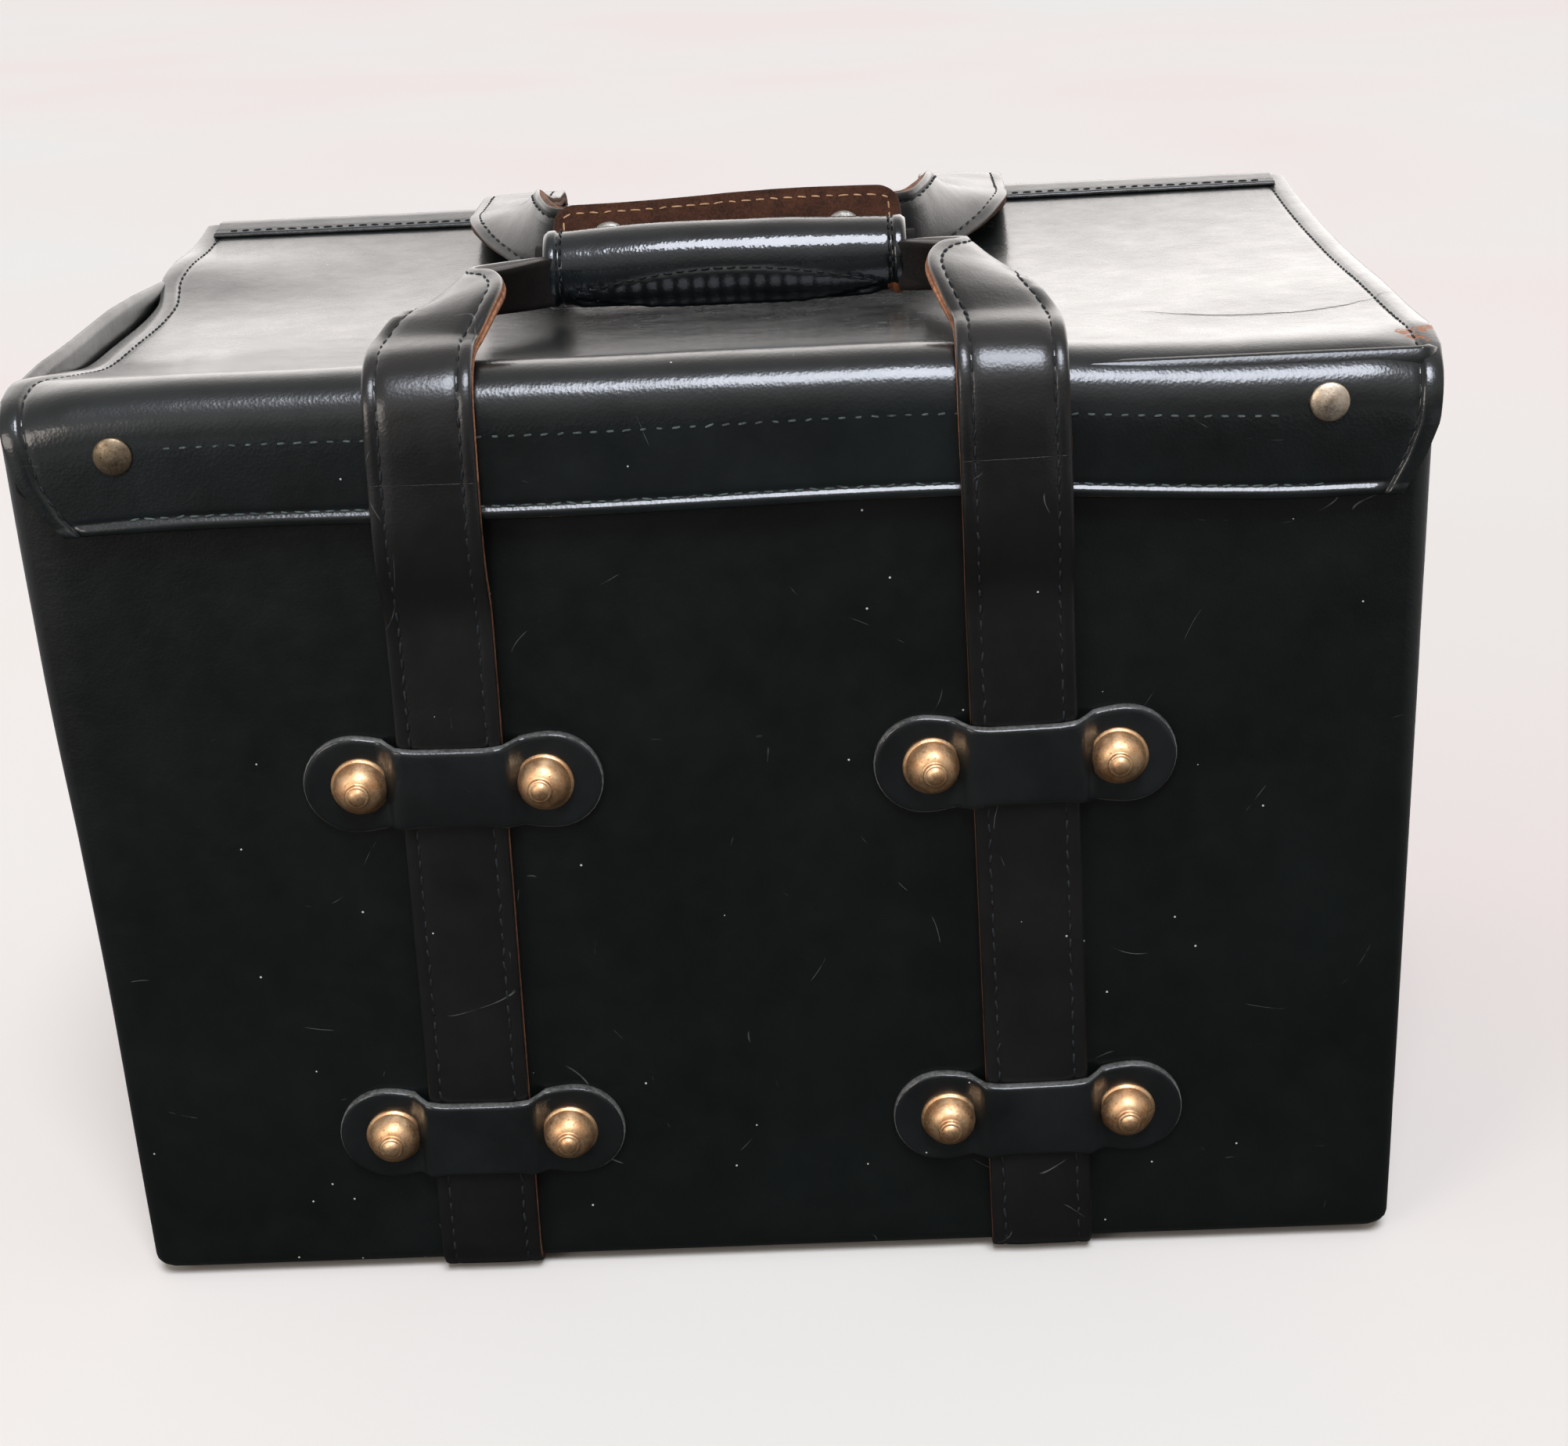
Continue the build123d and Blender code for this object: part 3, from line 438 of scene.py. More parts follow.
tan_edge = fibre("cut_edge_tan_burnished", "#2e2119", "#8a6045", 1.6, 0.72, 0.12)
fresh_edge = fibre("cut_edge_tan_rubbed", "#5c3626", "#c98f6c", 1.4, 0.75, 0.12)
black_edge = fibre("cut_edge_black_handled", "#0e0e0e", "#3a3531", 1.2, 0.45, 0.08)
# The grey of this cut edge is painted sheen: a light grey that stands in for light catching the edges of
# the keepers, the lid and the hinge strip.
painted_sheen_edge = fibre("cut_edge_grey_painted_sheen", "#2b2b29", "#6c6c69", 1.2, 0.60, 0.12)
flesh_side = fibre("flesh_side_black", "#0d0d0d", "#211c19", 0.9, 0.85, 0.10, sheen=0.05)
black_thread = fibre("waxed_thread_black", "#0c0e0f", "#23282a", 0.5, 0.62, 0.05)
grey_thread = fibre("waxed_thread_dusty", "#1c2324", "#56605f", 0.8, 0.70, 0.05)
tan_thread = fibre("waxed_thread_tan", "#8c6a4c", "#d0a67e", 0.6, 0.70, 0.05)
wrap_suede = fibre("suede_red_brown", "#22120b", "#4c2d1d", 0.8, 0.92, 0.10, sheen=0.10)
lining_suede = fibre("suede_lining_tan", "#4a3320", "#75553a", 0.9, 0.95, 0.08, sheen=0.15)
pad_cloth = fibre("brushed_cotton_pad", "#3c2a1c", "#5d4431", 0.7, 0.95, 0.10, sheen=0.2)
print("threads", [m.name for m in bpy.data.materials if "thread" in m.name])

# %% [markdown]
# The studs are turned brass, lacquered once and worn to a soft, pinkish satin with dark dirt in
# the turned grooves. The press studs and rings are nickel plate, dulled by handling. A metal
# keeps the default index of refraction; its colour is all in its base colour.

# %% Metals


def metal(name, bright, dull, dirt, roughness):
    """An aged metal: a satin base with tarnish clouds and pits."""
    made, tree, place = blank_finish(name)
    mm = node(tree, "Mapping", {"Vector": place, "Scale": (1 / MM,) * 3})
    cloud = node(tree, "TexNoise", {"Vector": mm, "Scale": 1 / 5.0, "Detail": 5.0, "Roughness": 0.65})
    pits = node(tree, "TexNoise", {"Vector": mm, "Scale": 1 / 0.9, "Detail": 3.0})
    tone = node(tree, "ValToRGB", [cloud], stops=[(0.34, dull), (0.66, bright)])
    spots = node(tree, "ValToRGB", [pits], stops=[(0.60, 0.0), (0.78, 1.0)])
    aged = node(tree, "MixRGB", [spots, tone, linear(dirt)])
    rough = node(tree, "MapRange", {"Value": pits, "From Min": 0.3, "From Max": 0.8,
                                    "To Min": roughness - 0.06, "To Max": roughness + 0.2})
    bump = node(tree, "Bump", {"Height": pits, "Strength": 1.0, "Distance": 0.05 * MM})
    skin = node(tree, "BsdfPrincipled", {"Base Color": aged, "Metallic": 1.0, "Roughness": rough,
                                         "Normal": bump})
    node(tree, "OutputMaterial", [skin])
    return made


aged_brass = metal("turned_brass_aged", "#f3cfa2", "#dca878", "#7a5236", 0.44)
ivory_nickel = metal("pressed_nickel_ivory", "#efe0cb", "#cdb79c", "#8a7763", 0.40)
brown_nickel = metal("pressed_nickel_worn", "#a08e78", "#74654f", "#4a3e32", 0.46)
plain_nickel = metal("plated_nickel_dulled", "#c9c6be", "#9b978e", "#5d584f", 0.32)
print("all finishes", [m.name for m in bpy.data.materials])

# %% [markdown]
# The straps, rivets and hinge of the frame are in their working places, so the looks take their
# sizes from the frame's pieces. Two helpers read them in millimetres.

# %% Sizes from the frame


def box(name):
    """Lower and upper corner of a frame piece in mm."""
    return [np.array(corner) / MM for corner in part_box(name)]


def middle(name):
    """Middle of a frame piece in mm."""
    low, high = box(name)
    return (low + high) / 2


FRONT = -box("front_panel")[0][1]
BASE_Z = box("bottom_panel")[0][2]
CASE_HEIGHT = box("lid_leather")[1][2]
print("front, base and top in mm", round(FRONT, 1), round(BASE_Z, 1), round(CASE_HEIGHT, 1))

# %% [markdown]
# The body is a boxy shell of hide over board. Five flat plates would show hard seams, so it is
# one lofted skin: a rounded rectangle that widens upward, with a faint swell between its
# corners. At the left end the folded hem stands up past the sunken lid, as an open shell does.

# %% Body shell
BASE_HALF, TOP_HALF = 203.0, 208.0
LID_HALF = 209.5
LID_MIDDLE_Y, LID_REACH = 1.15, 134.65
WALL = 4.0
CORNER = 6.0
BASE_ROUND = 5.0
END_BOW = 3.0
LEFT_FLARE = 3.2
RIM_DROP = 7.4
HEM_Y = [-134, -131, -125, -113, -92, -52, -10, 21, 59, 100]
HEM_Z = [286, 291.1, 294.5, 296.3, 298.0, 297.8, 298.0, 296.7, 294.2, 289.0]
CORNER_POINTS, WALL_LEVELS = 6, 60
SIDES = [(70, (1, 0), (0, -1)), (46, (0, 1), (1, 0)), (70, (-1, 0), (0, 1)), (46, (0, -1), (-1, 0))]


def half_width_at(z):
    """Half the case's width at height z, which grows toward the top."""
    return BASE_HALF + (TOP_HALF - BASE_HALF) * (z - BASE_Z) / (CASE_HEIGHT - BASE_Z)


def lid_z(x, y):
    """Height of the lid's top at rest: it sags most to the left, and droops to the front right."""
    side = np.asarray(x, float) / LID_HALF
    t = (np.asarray(y, float) - LID_MIDDLE_Y) / LID_REACH
    sag = 11.3 - 3.2 * side - 2.1 * side**2
    held_up = 5.0 * np.exp(-((y - 72) / 30)**2) * ease(-side, 0.55, 1.0)
    sunk = 2.2 * np.exp(-((y + 62) / 26)**2) * ease(-side, 0.6, 1.0)
    droop = 4.2 * ease(x, 45, 150) * ease(-y, 40, 132)
    return CASE_HEIGHT - sag * np.clip(1 - t**2, 0, 1) + held_up - sunk - droop


def case_loop(z, inset, shrink=0.0):
    """One level of the body's skin, front side first, counter-clockwise from above. Each of
    the sides has its number of points, the direction along it and the direction out of it."""
    depth, half = FRONT - inset, half_width_at(max(z, BASE_Z)) - inset
    radius = max(CORNER - inset, 1.0)
    core = np.array([half - radius, depth - radius])
    points = []
    for quarter, (count, along, out) in enumerate(SIDES):
        along, out = np.array(along), np.array(out)
        share = np.linspace(-1, 1, count, endpoint=False)[1:, None]
        angle = (quarter - 1 + np.arange(CORNER_POINTS) / CORNER_POINTS) * math.pi / 2
        points += [share * along * core + out * [half, depth],
                   (along + out) * core + radius * np.stack([np.cos(angle), np.sin(angle)], 1)]
    x, y = np.concatenate(points).T
    bow = END_BOW * (z - BASE_Z) / (CASE_HEIGHT - BASE_Z) * (1 - (y / depth)**2)
    x = x + np.sign(x) * bow * ease(np.abs(x), half - radius - 1, half)
    x = x - shrink * np.sign(x) * ease(np.abs(x), 100, half)
    y = y - shrink * np.sign(y) * ease(np.abs(y), 70, depth)
    return np.stack([x, y, np.full_like(x, z)], 1)


def rim_z(points):
    """Height of the wall's rim: level at the front and back, under the lid at the ends."""
    x, y = points[:, 0], points[:, 1]
    level = CASE_HEIGHT - RIM_DROP
    end = np.minimum(lid_z(np.sign(x) * 205, y) - 4.9, level)
    at_end = ease(np.abs(x), 196, 204) * ease(-np.abs(y), -140, -132)
    rim = level + (end - level) * at_end
    on_left = (x < -200) & (y > HEM_Y[0]) & (y < HEM_Y[-1])
    return np.where(on_left, np.maximum(rim, np.interp(y, HEM_Y, HEM_Z)), rim)


base_rows = [case_loop(BASE_Z + BASE_ROUND * (1 - math.sin(a)), 0, BASE_ROUND * (1 - math.cos(a)))
             for a in np.linspace(0, math.pi / 2, 6)[-2::-1]]
rims = rim_z(case_loop(CASE_HEIGHT - 8, 0))
print("wall rim in mm", round(rims.min(), 1), "to", round(rims.max(), 1))
foot = BASE_Z + BASE_ROUND
shares = np.linspace(0, 1, WALL_LEVELS)
levels = foot + (CASE_HEIGHT - 13 - BASE_Z) * shares
outer = np.array([case_loop(z, 0) for z in levels])
inner = np.array([case_loop(z, WALL) for z in levels])
outer[..., 2] = inner[..., 2] = foot + (rims - foot) * shares[:, None]
at_left_hem = (outer[..., 0] < -200) & (rims > 293.9)
inner[..., 0] -= 0.9 * ease(outer[..., 2], 281, 287) * at_left_hem

# %% [markdown]
# Board under leather is never dead flat. The long sides sink and the ends swell by a few tenths
# of a millimetre, in waves that fade toward the base, and the left end flares to the front.

# %% Swell of the walls
swell = 0.9 * waves(outer, 75) + 0.22 * waves(outer[..., [0, 2, 1]], 22)
calm = 0.6 * ease(outer[..., 2], BASE_Z + 2, 40)
on_long = np.abs(outer[..., 1]) > FRONT - 0.5
on_end = ~on_long & (np.abs(outer[..., 0]) > half_width_at(outer[..., 2]) - 1)
sink = np.abs(np.maximum(swell, -0.35)) * calm * 0.35
bulge = np.abs(np.minimum(swell, 0.15)) * calm
outer[..., 1] -= np.sign(outer[..., 1]) * sink * on_long
outer[..., 0] += np.sign(outer[..., 0]) * bulge * on_end
flare = LEFT_FLARE * ease(-outer[0, :, 1], 60, 141) * (outer[..., 0] < -196) * ease(outer[..., 2], 90, 245)
outer[..., 0] -= flare
inner[..., 0] -= flare
rim_mid = (outer[-1] + inner[-1]) / 2 + [0, 0, 0.7]
floor_inside = np.concatenate([inner[0, :, :2], np.full((len(rims), 1), BASE_Z + WALL)], 1)
toward_middle = np.array([[0.0, 0.0, 1.0], [0.5, 0.5, 1.0]])
case_skin = Skin()
case_skin.grid([*(base_rows[0] * share for share in toward_middle), *base_rows, *outer, rim_mid,
                *inner[::-1], floor_inside, *(floor_inside * share for share in toward_middle[::-1])],
               loop=True)
body_shell = case_skin.sew("body_shell", [case_hide], (
    "front_panel", "back_panel", "left_end_panel", "right_end_panel", "bottom_panel"))
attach(body_shell, "case")

# %% [markdown]
# The lid is one big hide. It is thin for its size, so it has sunk between its edges, deepest
# behind the left end, and it rolls over the front edge on a soft radius into the flap. Each
# column of the grid is a profile from the hinge to the flap's hem, smoothed along its length
# the way a thick hide would round every fold. The sewn borders and the hem's bead are raised
# on the same grid, so their seams run true round every curve.

# %% Lid hide
FLAP_Y, REAR_Y = (corner[1] for corner in box("lid_leather"))
HIDE_THICKNESS = 2.5
ROLL_TOP, ROLL_RADIUS = 300.9, 14.0
HEM_LINE, FACING_LINE = 257.4, 283.0
RIGHT_DROOP = 4.6
SMOOTHING = 26
FLAP_SIDE_Z = [250, 256, 264, 274, 288, 300]
FLAP_SIDE_LEFT = [187.0, 192.0, 199.5, 204.8, 208.0, 209.5]
FLAP_SIDE_RIGHT = [195.0, 199.0, 203.5, 207.2, 208.6, 209.5]


def lid_profile(x):
    """The lid's outer skin over one x, from the hinge to the hem, as even (y, z) rows."""
    y = np.arange(REAR_Y, -126.0, -3.0)
    top = np.stack([y, lid_z(x, y)], 1)
    corner_sag = 2.6 * float(ease(abs(x), 188, 211)) + 1.6 * float(ease(-x, 150, 205))
    roll_top = ROLL_TOP - RIGHT_DROOP * float(ease(x, 45, 150)) - corner_sag
    radius = ROLL_RADIUS + 2.5 * float(ease(x, 60, 190))
    angle = np.linspace(math.radians(78), math.radians(180), 9)
    arc = np.stack([FLAP_Y + radius + radius * np.cos(angle),
                    roll_top - radius + radius * np.sin(angle)], 1)
    hem_z = HEM_LINE - RIGHT_DROOP * float(ease(x, 60, 185)) + 0.5 * math.sin(x / 31)
    fall = np.linspace(roll_top - radius, hem_z, 14)[1:]
    flap = np.stack([np.full(13, FLAP_Y), fall], 1)
    line = evenly(np.pad(np.concatenate([top, arc, flap]), ((0, 0), (0, 1))), 1.5)[:, :2]
    soft = line.copy()
    for _ in range(SMOOTHING):
        soft[1:-1] = 0.5 * soft[1:-1] + 0.25 * (soft[2:] + soft[:-2])
    return soft


def profile_places(length):
    """Arc lengths of the rows: even on the hide, close together at both sewn ends."""
    return np.concatenate([[0, 0.8, 1.8, 3.2, 5.0], np.arange(7.5, length - 9, 2.2),
                           length - np.array([7.6, 6.4, 5.4, 4.8, 4.2, 3.6, 3.0, 2.4, 1.8, 1.2, 0.6, 0])])


# %% [markdown]
# The columns stand close together where the border is sewn and further apart on the plain hide.
# The flap narrows toward its corners, more at the left, and the lid's left side is drawn in
# where it has sunk, so the columns are then moved sideways to those outlines.

# %% Grid of the lid
edge_steps = np.array([0, 0.5, 1.1, 1.9, 2.8, 3.8, 4.7, 5.4, 5.9, 6.3, 6.7, 7.2, 8.0, 9.4, 12.0])
middle_steps = np.arange(16.0, 2 * LID_HALF - 14, 4.4)
lid_columns = np.concatenate([edge_steps, middle_steps, (2 * LID_HALF - edge_steps)[::-1]]) - LID_HALF
LID_RUN = 330.0
row_count = len(profile_places(LID_RUN))
lid_grid = np.zeros((len(lid_columns), row_count, 3))
for column, x in zip(lid_grid, lid_columns):
    profile = lid_profile(x)
    run = np.concatenate([[0], np.cumsum(np.linalg.norm(np.diff(profile, axis=0), axis=1))])
    places = profile_places(LID_RUN) * run[-1] / LID_RUN
    column[:, 1] = np.interp(places, run, profile[:, 0])
    column[:, 2] = np.interp(places, run, profile[:, 1])
across = lid_columns[:, None]
from_edge = LID_HALF - np.abs(across)
edge_height = lid_grid[..., 2] + 45 * (1 - ease(-lid_grid[..., 1], 120, 140))
side_limit = np.where(across < 0, np.interp(edge_height, FLAP_SIDE_Z, FLAP_SIDE_LEFT),
                      np.interp(edge_height, FLAP_SIDE_Z, FLAP_SIDE_RIGHT))
sunk_in = 4.2 * ease(lid_grid[..., 1], -128, -100) * ease(-lid_grid[..., 1], -62, -30)
lid_grid[..., 0] = across - np.sign(across) * (LID_HALF - side_limit) * np.clip(1 - from_edge / 60, 0, 1)
lid_grid[..., 0] += sunk_in * ease(-across, 150, LID_HALF)


def grid_normals(grid):
    """Outward normals of a grid of points."""
    return unit(np.cross(np.gradient(grid, axis=0), -np.gradient(grid, axis=1)))


print("lid grid", lid_grid.shape[:2])

# %% [markdown]
# What the eye reads as a sewn hide is relief of a millimetre: the border strips at the sides, the
# groove that their stitches pull, and the bead along the hem. They are lifts along the normals.

# %% Borders, hem and stitches of the lid
BORDER = 6.3
lid_normal = grid_normals(lid_grid)
run_down = np.cumsum(np.linalg.norm(np.diff(lid_grid, axis=1, prepend=lid_grid[:, :1]), axis=2), axis=1)
to_hem = run_down[:, -1:] - run_down
border = np.minimum(from_edge, 60)
strip = ease(-border, -BORDER - 0.3, -BORDER + 0.9)
strip = strip * (0.55 + 0.45 * np.sin(np.clip(border / BORDER, 0, 1) * math.pi))
groove = np.exp(-((border - BORDER - 0.5) / 0.45)**2)
bead = np.where(to_hem < 3.4, np.sqrt(np.clip(1 - ((to_hem - 1.7) / 1.7)**2, 0, 1)), 0)
hem_seam = np.exp(-((to_hem - 4.5) / 0.6)**2)
raised = strip - 0.35 * groove + np.where(border > 9, 1.05 * bead - 0.3 * hem_seam, 0.3 * bead)
swell = 0.9 * waves(lid_grid, 60) + 0.22 * waves(lid_grid, 19)
press = 1 - 0.75 * ease(-lid_grid[..., 2], -280, -262)
lid_top = lid_grid + lid_normal * (raised + 0.34 * swell * ease(run_down, 4, 40) * press)[..., None]
lid_skin = Skin()
lid_skin.sheet(lid_top, lid_grid - lid_normal * HIDE_THICKNESS, (0, 1, 2), rim_rows=3)
for end in (-1, 1):
    column = int(np.argmin(np.abs(lid_columns - end * (LID_HALF - BORDER - 0.4))))
    stitch_row(lid_skin, lid_top[column, 4:-8], lid_normal[column, 4:-8], 3, pitch=4.6, length=3.3,
               radius=0.40)
hem_row = row_count - 8
stitch_row(lid_skin, lid_top[18:-18, hem_row], lid_normal[18:-18, hem_row], 4,
           pitch=4.4, length=3.0, radius=0.36)
middle_column = lid_grid[len(lid_columns) // 2]
facing_row = int(np.argmin(np.abs(middle_column[:, 2] - FACING_LINE) + 1000 * (middle_column[:, 1] > -140)))
stitch_row(lid_skin, lid_top[22:-22, facing_row], lid_normal[22:-22, facing_row], 4,
           pitch=4.8, length=2.4, radius=0.36, lift=0.08)
lid_hide_piece = lid_skin.sew("lid_hide", [lid_hide, flesh_side, painted_sheen_edge, black_thread, grey_thread],
                              ("lid_leather", "left_lid_binding", "right_lid_binding"))
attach(lid_hide_piece, "lid")

# %% [markdown]
# Under the hide a thin suede lining is glued up to the fold. It follows the same sag, a little
# inside the walls, so that it shows only when the lid is open.

# %% Lid lining
LINING_HALF = 201.0
LINING_THICKNESS = 1.3
grid_x, grid_y = np.meshgrid(np.linspace(-LINING_HALF, LINING_HALF, 60), np.linspace(-130.0, 131.0, 50),
                             indexing="ij")
under_hide = lid_z(grid_x, grid_y) - HIDE_THICKNESS - 1.2 - 3.5 * ease(-grid_y, 105, 132)
nap = 0.12 * waves(np.stack([grid_x, grid_y, 0 * grid_x], -1), 16)
lining_face = np.stack([grid_x, grid_y, under_hide + nap], -1)
lining_skin = Skin()
lining_skin.sheet(lining_face, lining_face - [0, 0, LINING_THICKNESS])
lid_lining_piece = lining_skin.sew("lid_suede_lining", [lining_suede], ("lid_lining",))
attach(lid_lining_piece, "lid")

# %% [markdown]
# Each strap is two layers of bridle leather, stitched near both edges. Its section is drawn
# once: rounded corners, a groove where the stitches pull the face down, and a crease at each
# edge where the two layers meet. The section then travels along the strap's route with its own
# width direction, because a strap turns on its flat and on its edge and a round tube does not.

# %% Strap section
STRAP_WIDTH = 32.0
STRAP_THICK = 5.0
SEAM_IN = 4.2
STRAP_X, TOE_IN = 90.0, 5.0
UPPER_KEEPER_Z = middle("front_left_upper_keeper")[2]
LOWER_KEEPER_Z = middle("front_left_lower_keeper")[2]
STRAP_WAVE = 0.35
CRISP = 0.04
HIDE_FACE, CUT_EDGE, FLESH, THREAD, RUBBED_EDGE, BLACK_EDGE = range(6)


def strap_x(z):
    """Distance of a strap's middle from the case's middle at height z."""
    return STRAP_X - z * TOE_IN / CASE_HEIGHT


half = STRAP_WIDTH / 2
thick = STRAP_THICK / 2
seam = half - SEAM_IN
face_side = [(-half + 0.9, thick), (-half + 2.2, thick + 0.1), (-seam - 0.9, thick + 0.05),
             (-seam - 0.4, thick - 0.15), (-seam, thick - 0.3), (-seam + 0.4, thick - 0.15),
             (-seam + 0.9, thick + 0.05), (-8, thick + 0.22), (-4, thick + 0.3), (0, thick + 0.32)]
face_side += [(-a, b) for a, b in face_side[-2::-1]]
edge_side = [(half - 0.25, thick - 0.35), (half, thick - 1.0), (half + 0.1, 0.6), (half - 0.3, 0.12),
             (half - 0.3, -0.12), (half + 0.1, -0.6), (half, -thick + 1.0), (half - 0.25, -thick + 0.35)]
flesh_face = [(half - 0.9, -thick), (seam, -thick - 0.05), (6, -thick), (0, -thick), (-6, -thick),
              (-seam, -thick - 0.05), (-half + 0.9, -thick)]
section = np.array(face_side + edge_side + flesh_face + [(-a, b) for a, b in edge_side[::-1]])
edge_finish = [HIDE_FACE] * 2 + [CUT_EDGE] * (len(edge_side) - 2) + [FLESH]
section_finish = np.array([HIDE_FACE] * (len(face_side) - 1) + edge_finish
                          + [FLESH] * (len(flesh_face) - 1) + edge_finish[::-1])
print("points round a strap", len(section))

# %% [markdown]
# A strap's route is a short table of keys. Each key is a place in mm and the direction that the
# strap's width points in there, and a width and a thickness where the strap is pressed or drawn
# narrower. The left strap is written out, and the right one is its mirror image.

# %% Strap route


def strap_frames(rows):
    """Place, width direction, outward direction, width share and thickness share of each row."""
    place = rows[:, :3]
    travel = unit(np.gradient(place, axis=0))
    width = rows[:, 3:6]
    width = unit(width - travel * (width * travel).sum(1, keepdims=True))
    return place, width, np.cross(width, travel), rows[:, 6] / STRAP_WIDTH, rows[:, 7] / STRAP_THICK


def sweep_strap(skin, rows, mirror=1, seed=0.0, part=slice(None), edge_at=None):
    """Sweeps the strap's section along the rows and lays its two rows of stitches. A part is
    the slice of the rows to make, so that two pieces of one strap meet exactly. The finish of
    the cut edges can change along the strap, as edge_at gives it for each place. A narrow row
    at each end keeps the end's corner crisp, so that two lengths of one strap join unseen."""
    place, width, outward, wide, thin = (f[part] for f in strap_frames(rows))
    first = part.start or 0
    ripple = np.array([[noise.noise(Vector((a * 0.06, k * 0.035 + seed, seed))) for a, _ in section]
                       for k in range(first, first + len(place))])
    a = section[:, 0][None] * wide[:, None]
    b = section[:, 1][None] * thin[:, None] + STRAP_WAVE * ripple
    skin_rows = place[:, None] + a[..., None] * width[:, None] + b[..., None] * outward[:, None]
    skin_rows[..., 0] *= mirror
    head, tail = skin_rows[:1], skin_rows[-1:]
    tight_rows = np.concatenate([head, head + CRISP * (skin_rows[1:2] - head), skin_rows[1:-1],
                                 tail + CRISP * (skin_rows[-2:-1] - tail), tail])
    finish = np.repeat(section_finish[None], len(tight_rows) - 1, axis=0)
    if edge_at:
        finish = np.where(finish == CUT_EDGE, edge_at(tight_rows[1:].mean(1))[:, None], finish)
    skin.grid(tight_rows, finish, loop=True)
    for last in (head, tail):
        skin.grid(np.concatenate([last, 0 * last + last.mean(1, keepdims=True)]), CUT_EDGE,
                  loop=True, smooth=False)
    flip = np.array([mirror, 1, 1])
    for side in (-1, 1):
        line = place + side * seam * wide[:, None] * width + ((thick - 0.3) * thin)[:, None] * outward
        stitch_row(skin, line * flip, outward * flip, THREAD, pitch=5.0, length=3.6, radius=0.45)


def strap_keys(points):
    """Adds the full width and thickness to keys that don't give their own."""
    return [list(p) + [STRAP_WIDTH, STRAP_THICK][len(p) - 6:] for p in points]


def shoulder_edge(place):
    """Rubbed tan where the strap banks up to the hand, and worn black from there on."""
    return np.where(place[:, 1] < -96, RUBBED_EDGE, BLACK_EDGE)


CUT_Z = UPPER_KEEPER_Z + 1.5
strap_finishes = [strap_hide, tan_edge, flesh_side, black_thread, fresh_edge, black_edge]
print("lengths of a strap are cut at mm", round(CUT_Z, 1))

# %% [markdown]
# The sling of each strap runs down the back, under the case and up the front, between the
# riveted keepers, so it never moves against the body. Under the case it is pressed thin.

# %% Slings under the case
WALL_LINE = FRONT + 0.1 + STRAP_THICK / 2
UNDER = 1.5
for side, name in ((-1, "left"), (1, "right")):
    down = [(-strap_x(z), WALL_LINE, z, 1, 0, 0) for z in (CUT_Z, 130, 80, 40, 18)]
    corner = [(-strap_x(5), WALL_LINE - 1.2, 7.0, 1, 0, 0, 32, 4.4),
              (-strap_x(0), WALL_LINE - 6.5, 2.2, 1, 0, 0, 32, 3.4)]
    under = [(-strap_x(0), y, UNDER, 1, 0, 0, 32, 2.9) for y in (125, 60, 0, -60, -125)]
    front = [(p[0], -p[1], *p[2:]) for p in (down + corner)[::-1]]
    route = through(strap_keys(down + corner + under + front), 3.0)
    sling_skin = Skin()
    sweep_strap(sling_skin, route, mirror=-side, seed=3.0 * side)
    sling = sling_skin.sew(name + "_sling_strap", strap_finishes, (name + "_sling",))
    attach(sling, "case")

# %% [markdown]
# In front the straps rise over the flap, roll over the top edge and turn to the hand: each one banks its
# inner edge up, swings toward the middle and enters the grip standing on its edge, with its flesh side to
# the front. The leg and the shoulder are two pieces that meet at one shared row. On the case the leg lifts
# with the loop and the shoulder also folds with the grip, but here both are made in their rest place.

# %% Front legs and shoulders
LEG_LINE = -FLAP_Y + 0.3 + STRAP_THICK / 2
ROLL_Y, ROLL_Z = FLAP_Y + ROLL_RADIUS, CASE_HEIGHT - ROLL_RADIUS
BEND = LEG_LINE + ROLL_Y
GRIP_Y, GRIP_Z = middle("grip_core")[1:]
leg_keys = [(-strap_x(z), -y, z, 1, 0, 0) for z, y in (
    (CUT_Z, WALL_LINE), (UPPER_KEEPER_Z + 14, WALL_LINE), (212, WALL_LINE + 0.4), (230, WALL_LINE + 1.4),
    (244, LEG_LINE + 0.2), (256, LEG_LINE + 1.7), (270, LEG_LINE + 1.5), (ROLL_Z, LEG_LINE + 0.4))]
bend_keys = [(-strap_x(ROLL_Z), ROLL_Y - BEND * math.cos(math.radians(a)),
              ROLL_Z + BEND * math.sin(math.radians(a)), 1, 0, 0.06 * a / 90) for a in (22, 45, 68)]
inner_edge = [(-68.5, -126, 306.5), (-63.8, -118, 312.6), (-62.6, -111, 316.2), (-66.0, -102, 317.8),
              (-72.0, -92, 318.0), (-75.4, -82, 317.6), (-74.0, -71, 316.6), (-68.5, -58, 315.2),
              (-61.5, -45, 313.9), (-56.0, -36, 313.2)]
outer_edge = [(-100.3, -122, 304.6), (-97.4, -112, 307.4), (-94.4, -103, 308.6), (-93.6, -94, 307.4),
              (-92.0, -86, 305.6), (-88.4, -77, 303.4), (-83.0, -67, 301.6), (-75.8, -56, 299.8),
              (-67.0, -46, 298.4), (-58.5, -38, 297.6)]
arch = np.sin(np.linspace(0, math.pi, len(inner_edge)))[:, None]
LEG_SPLIT = 270.0
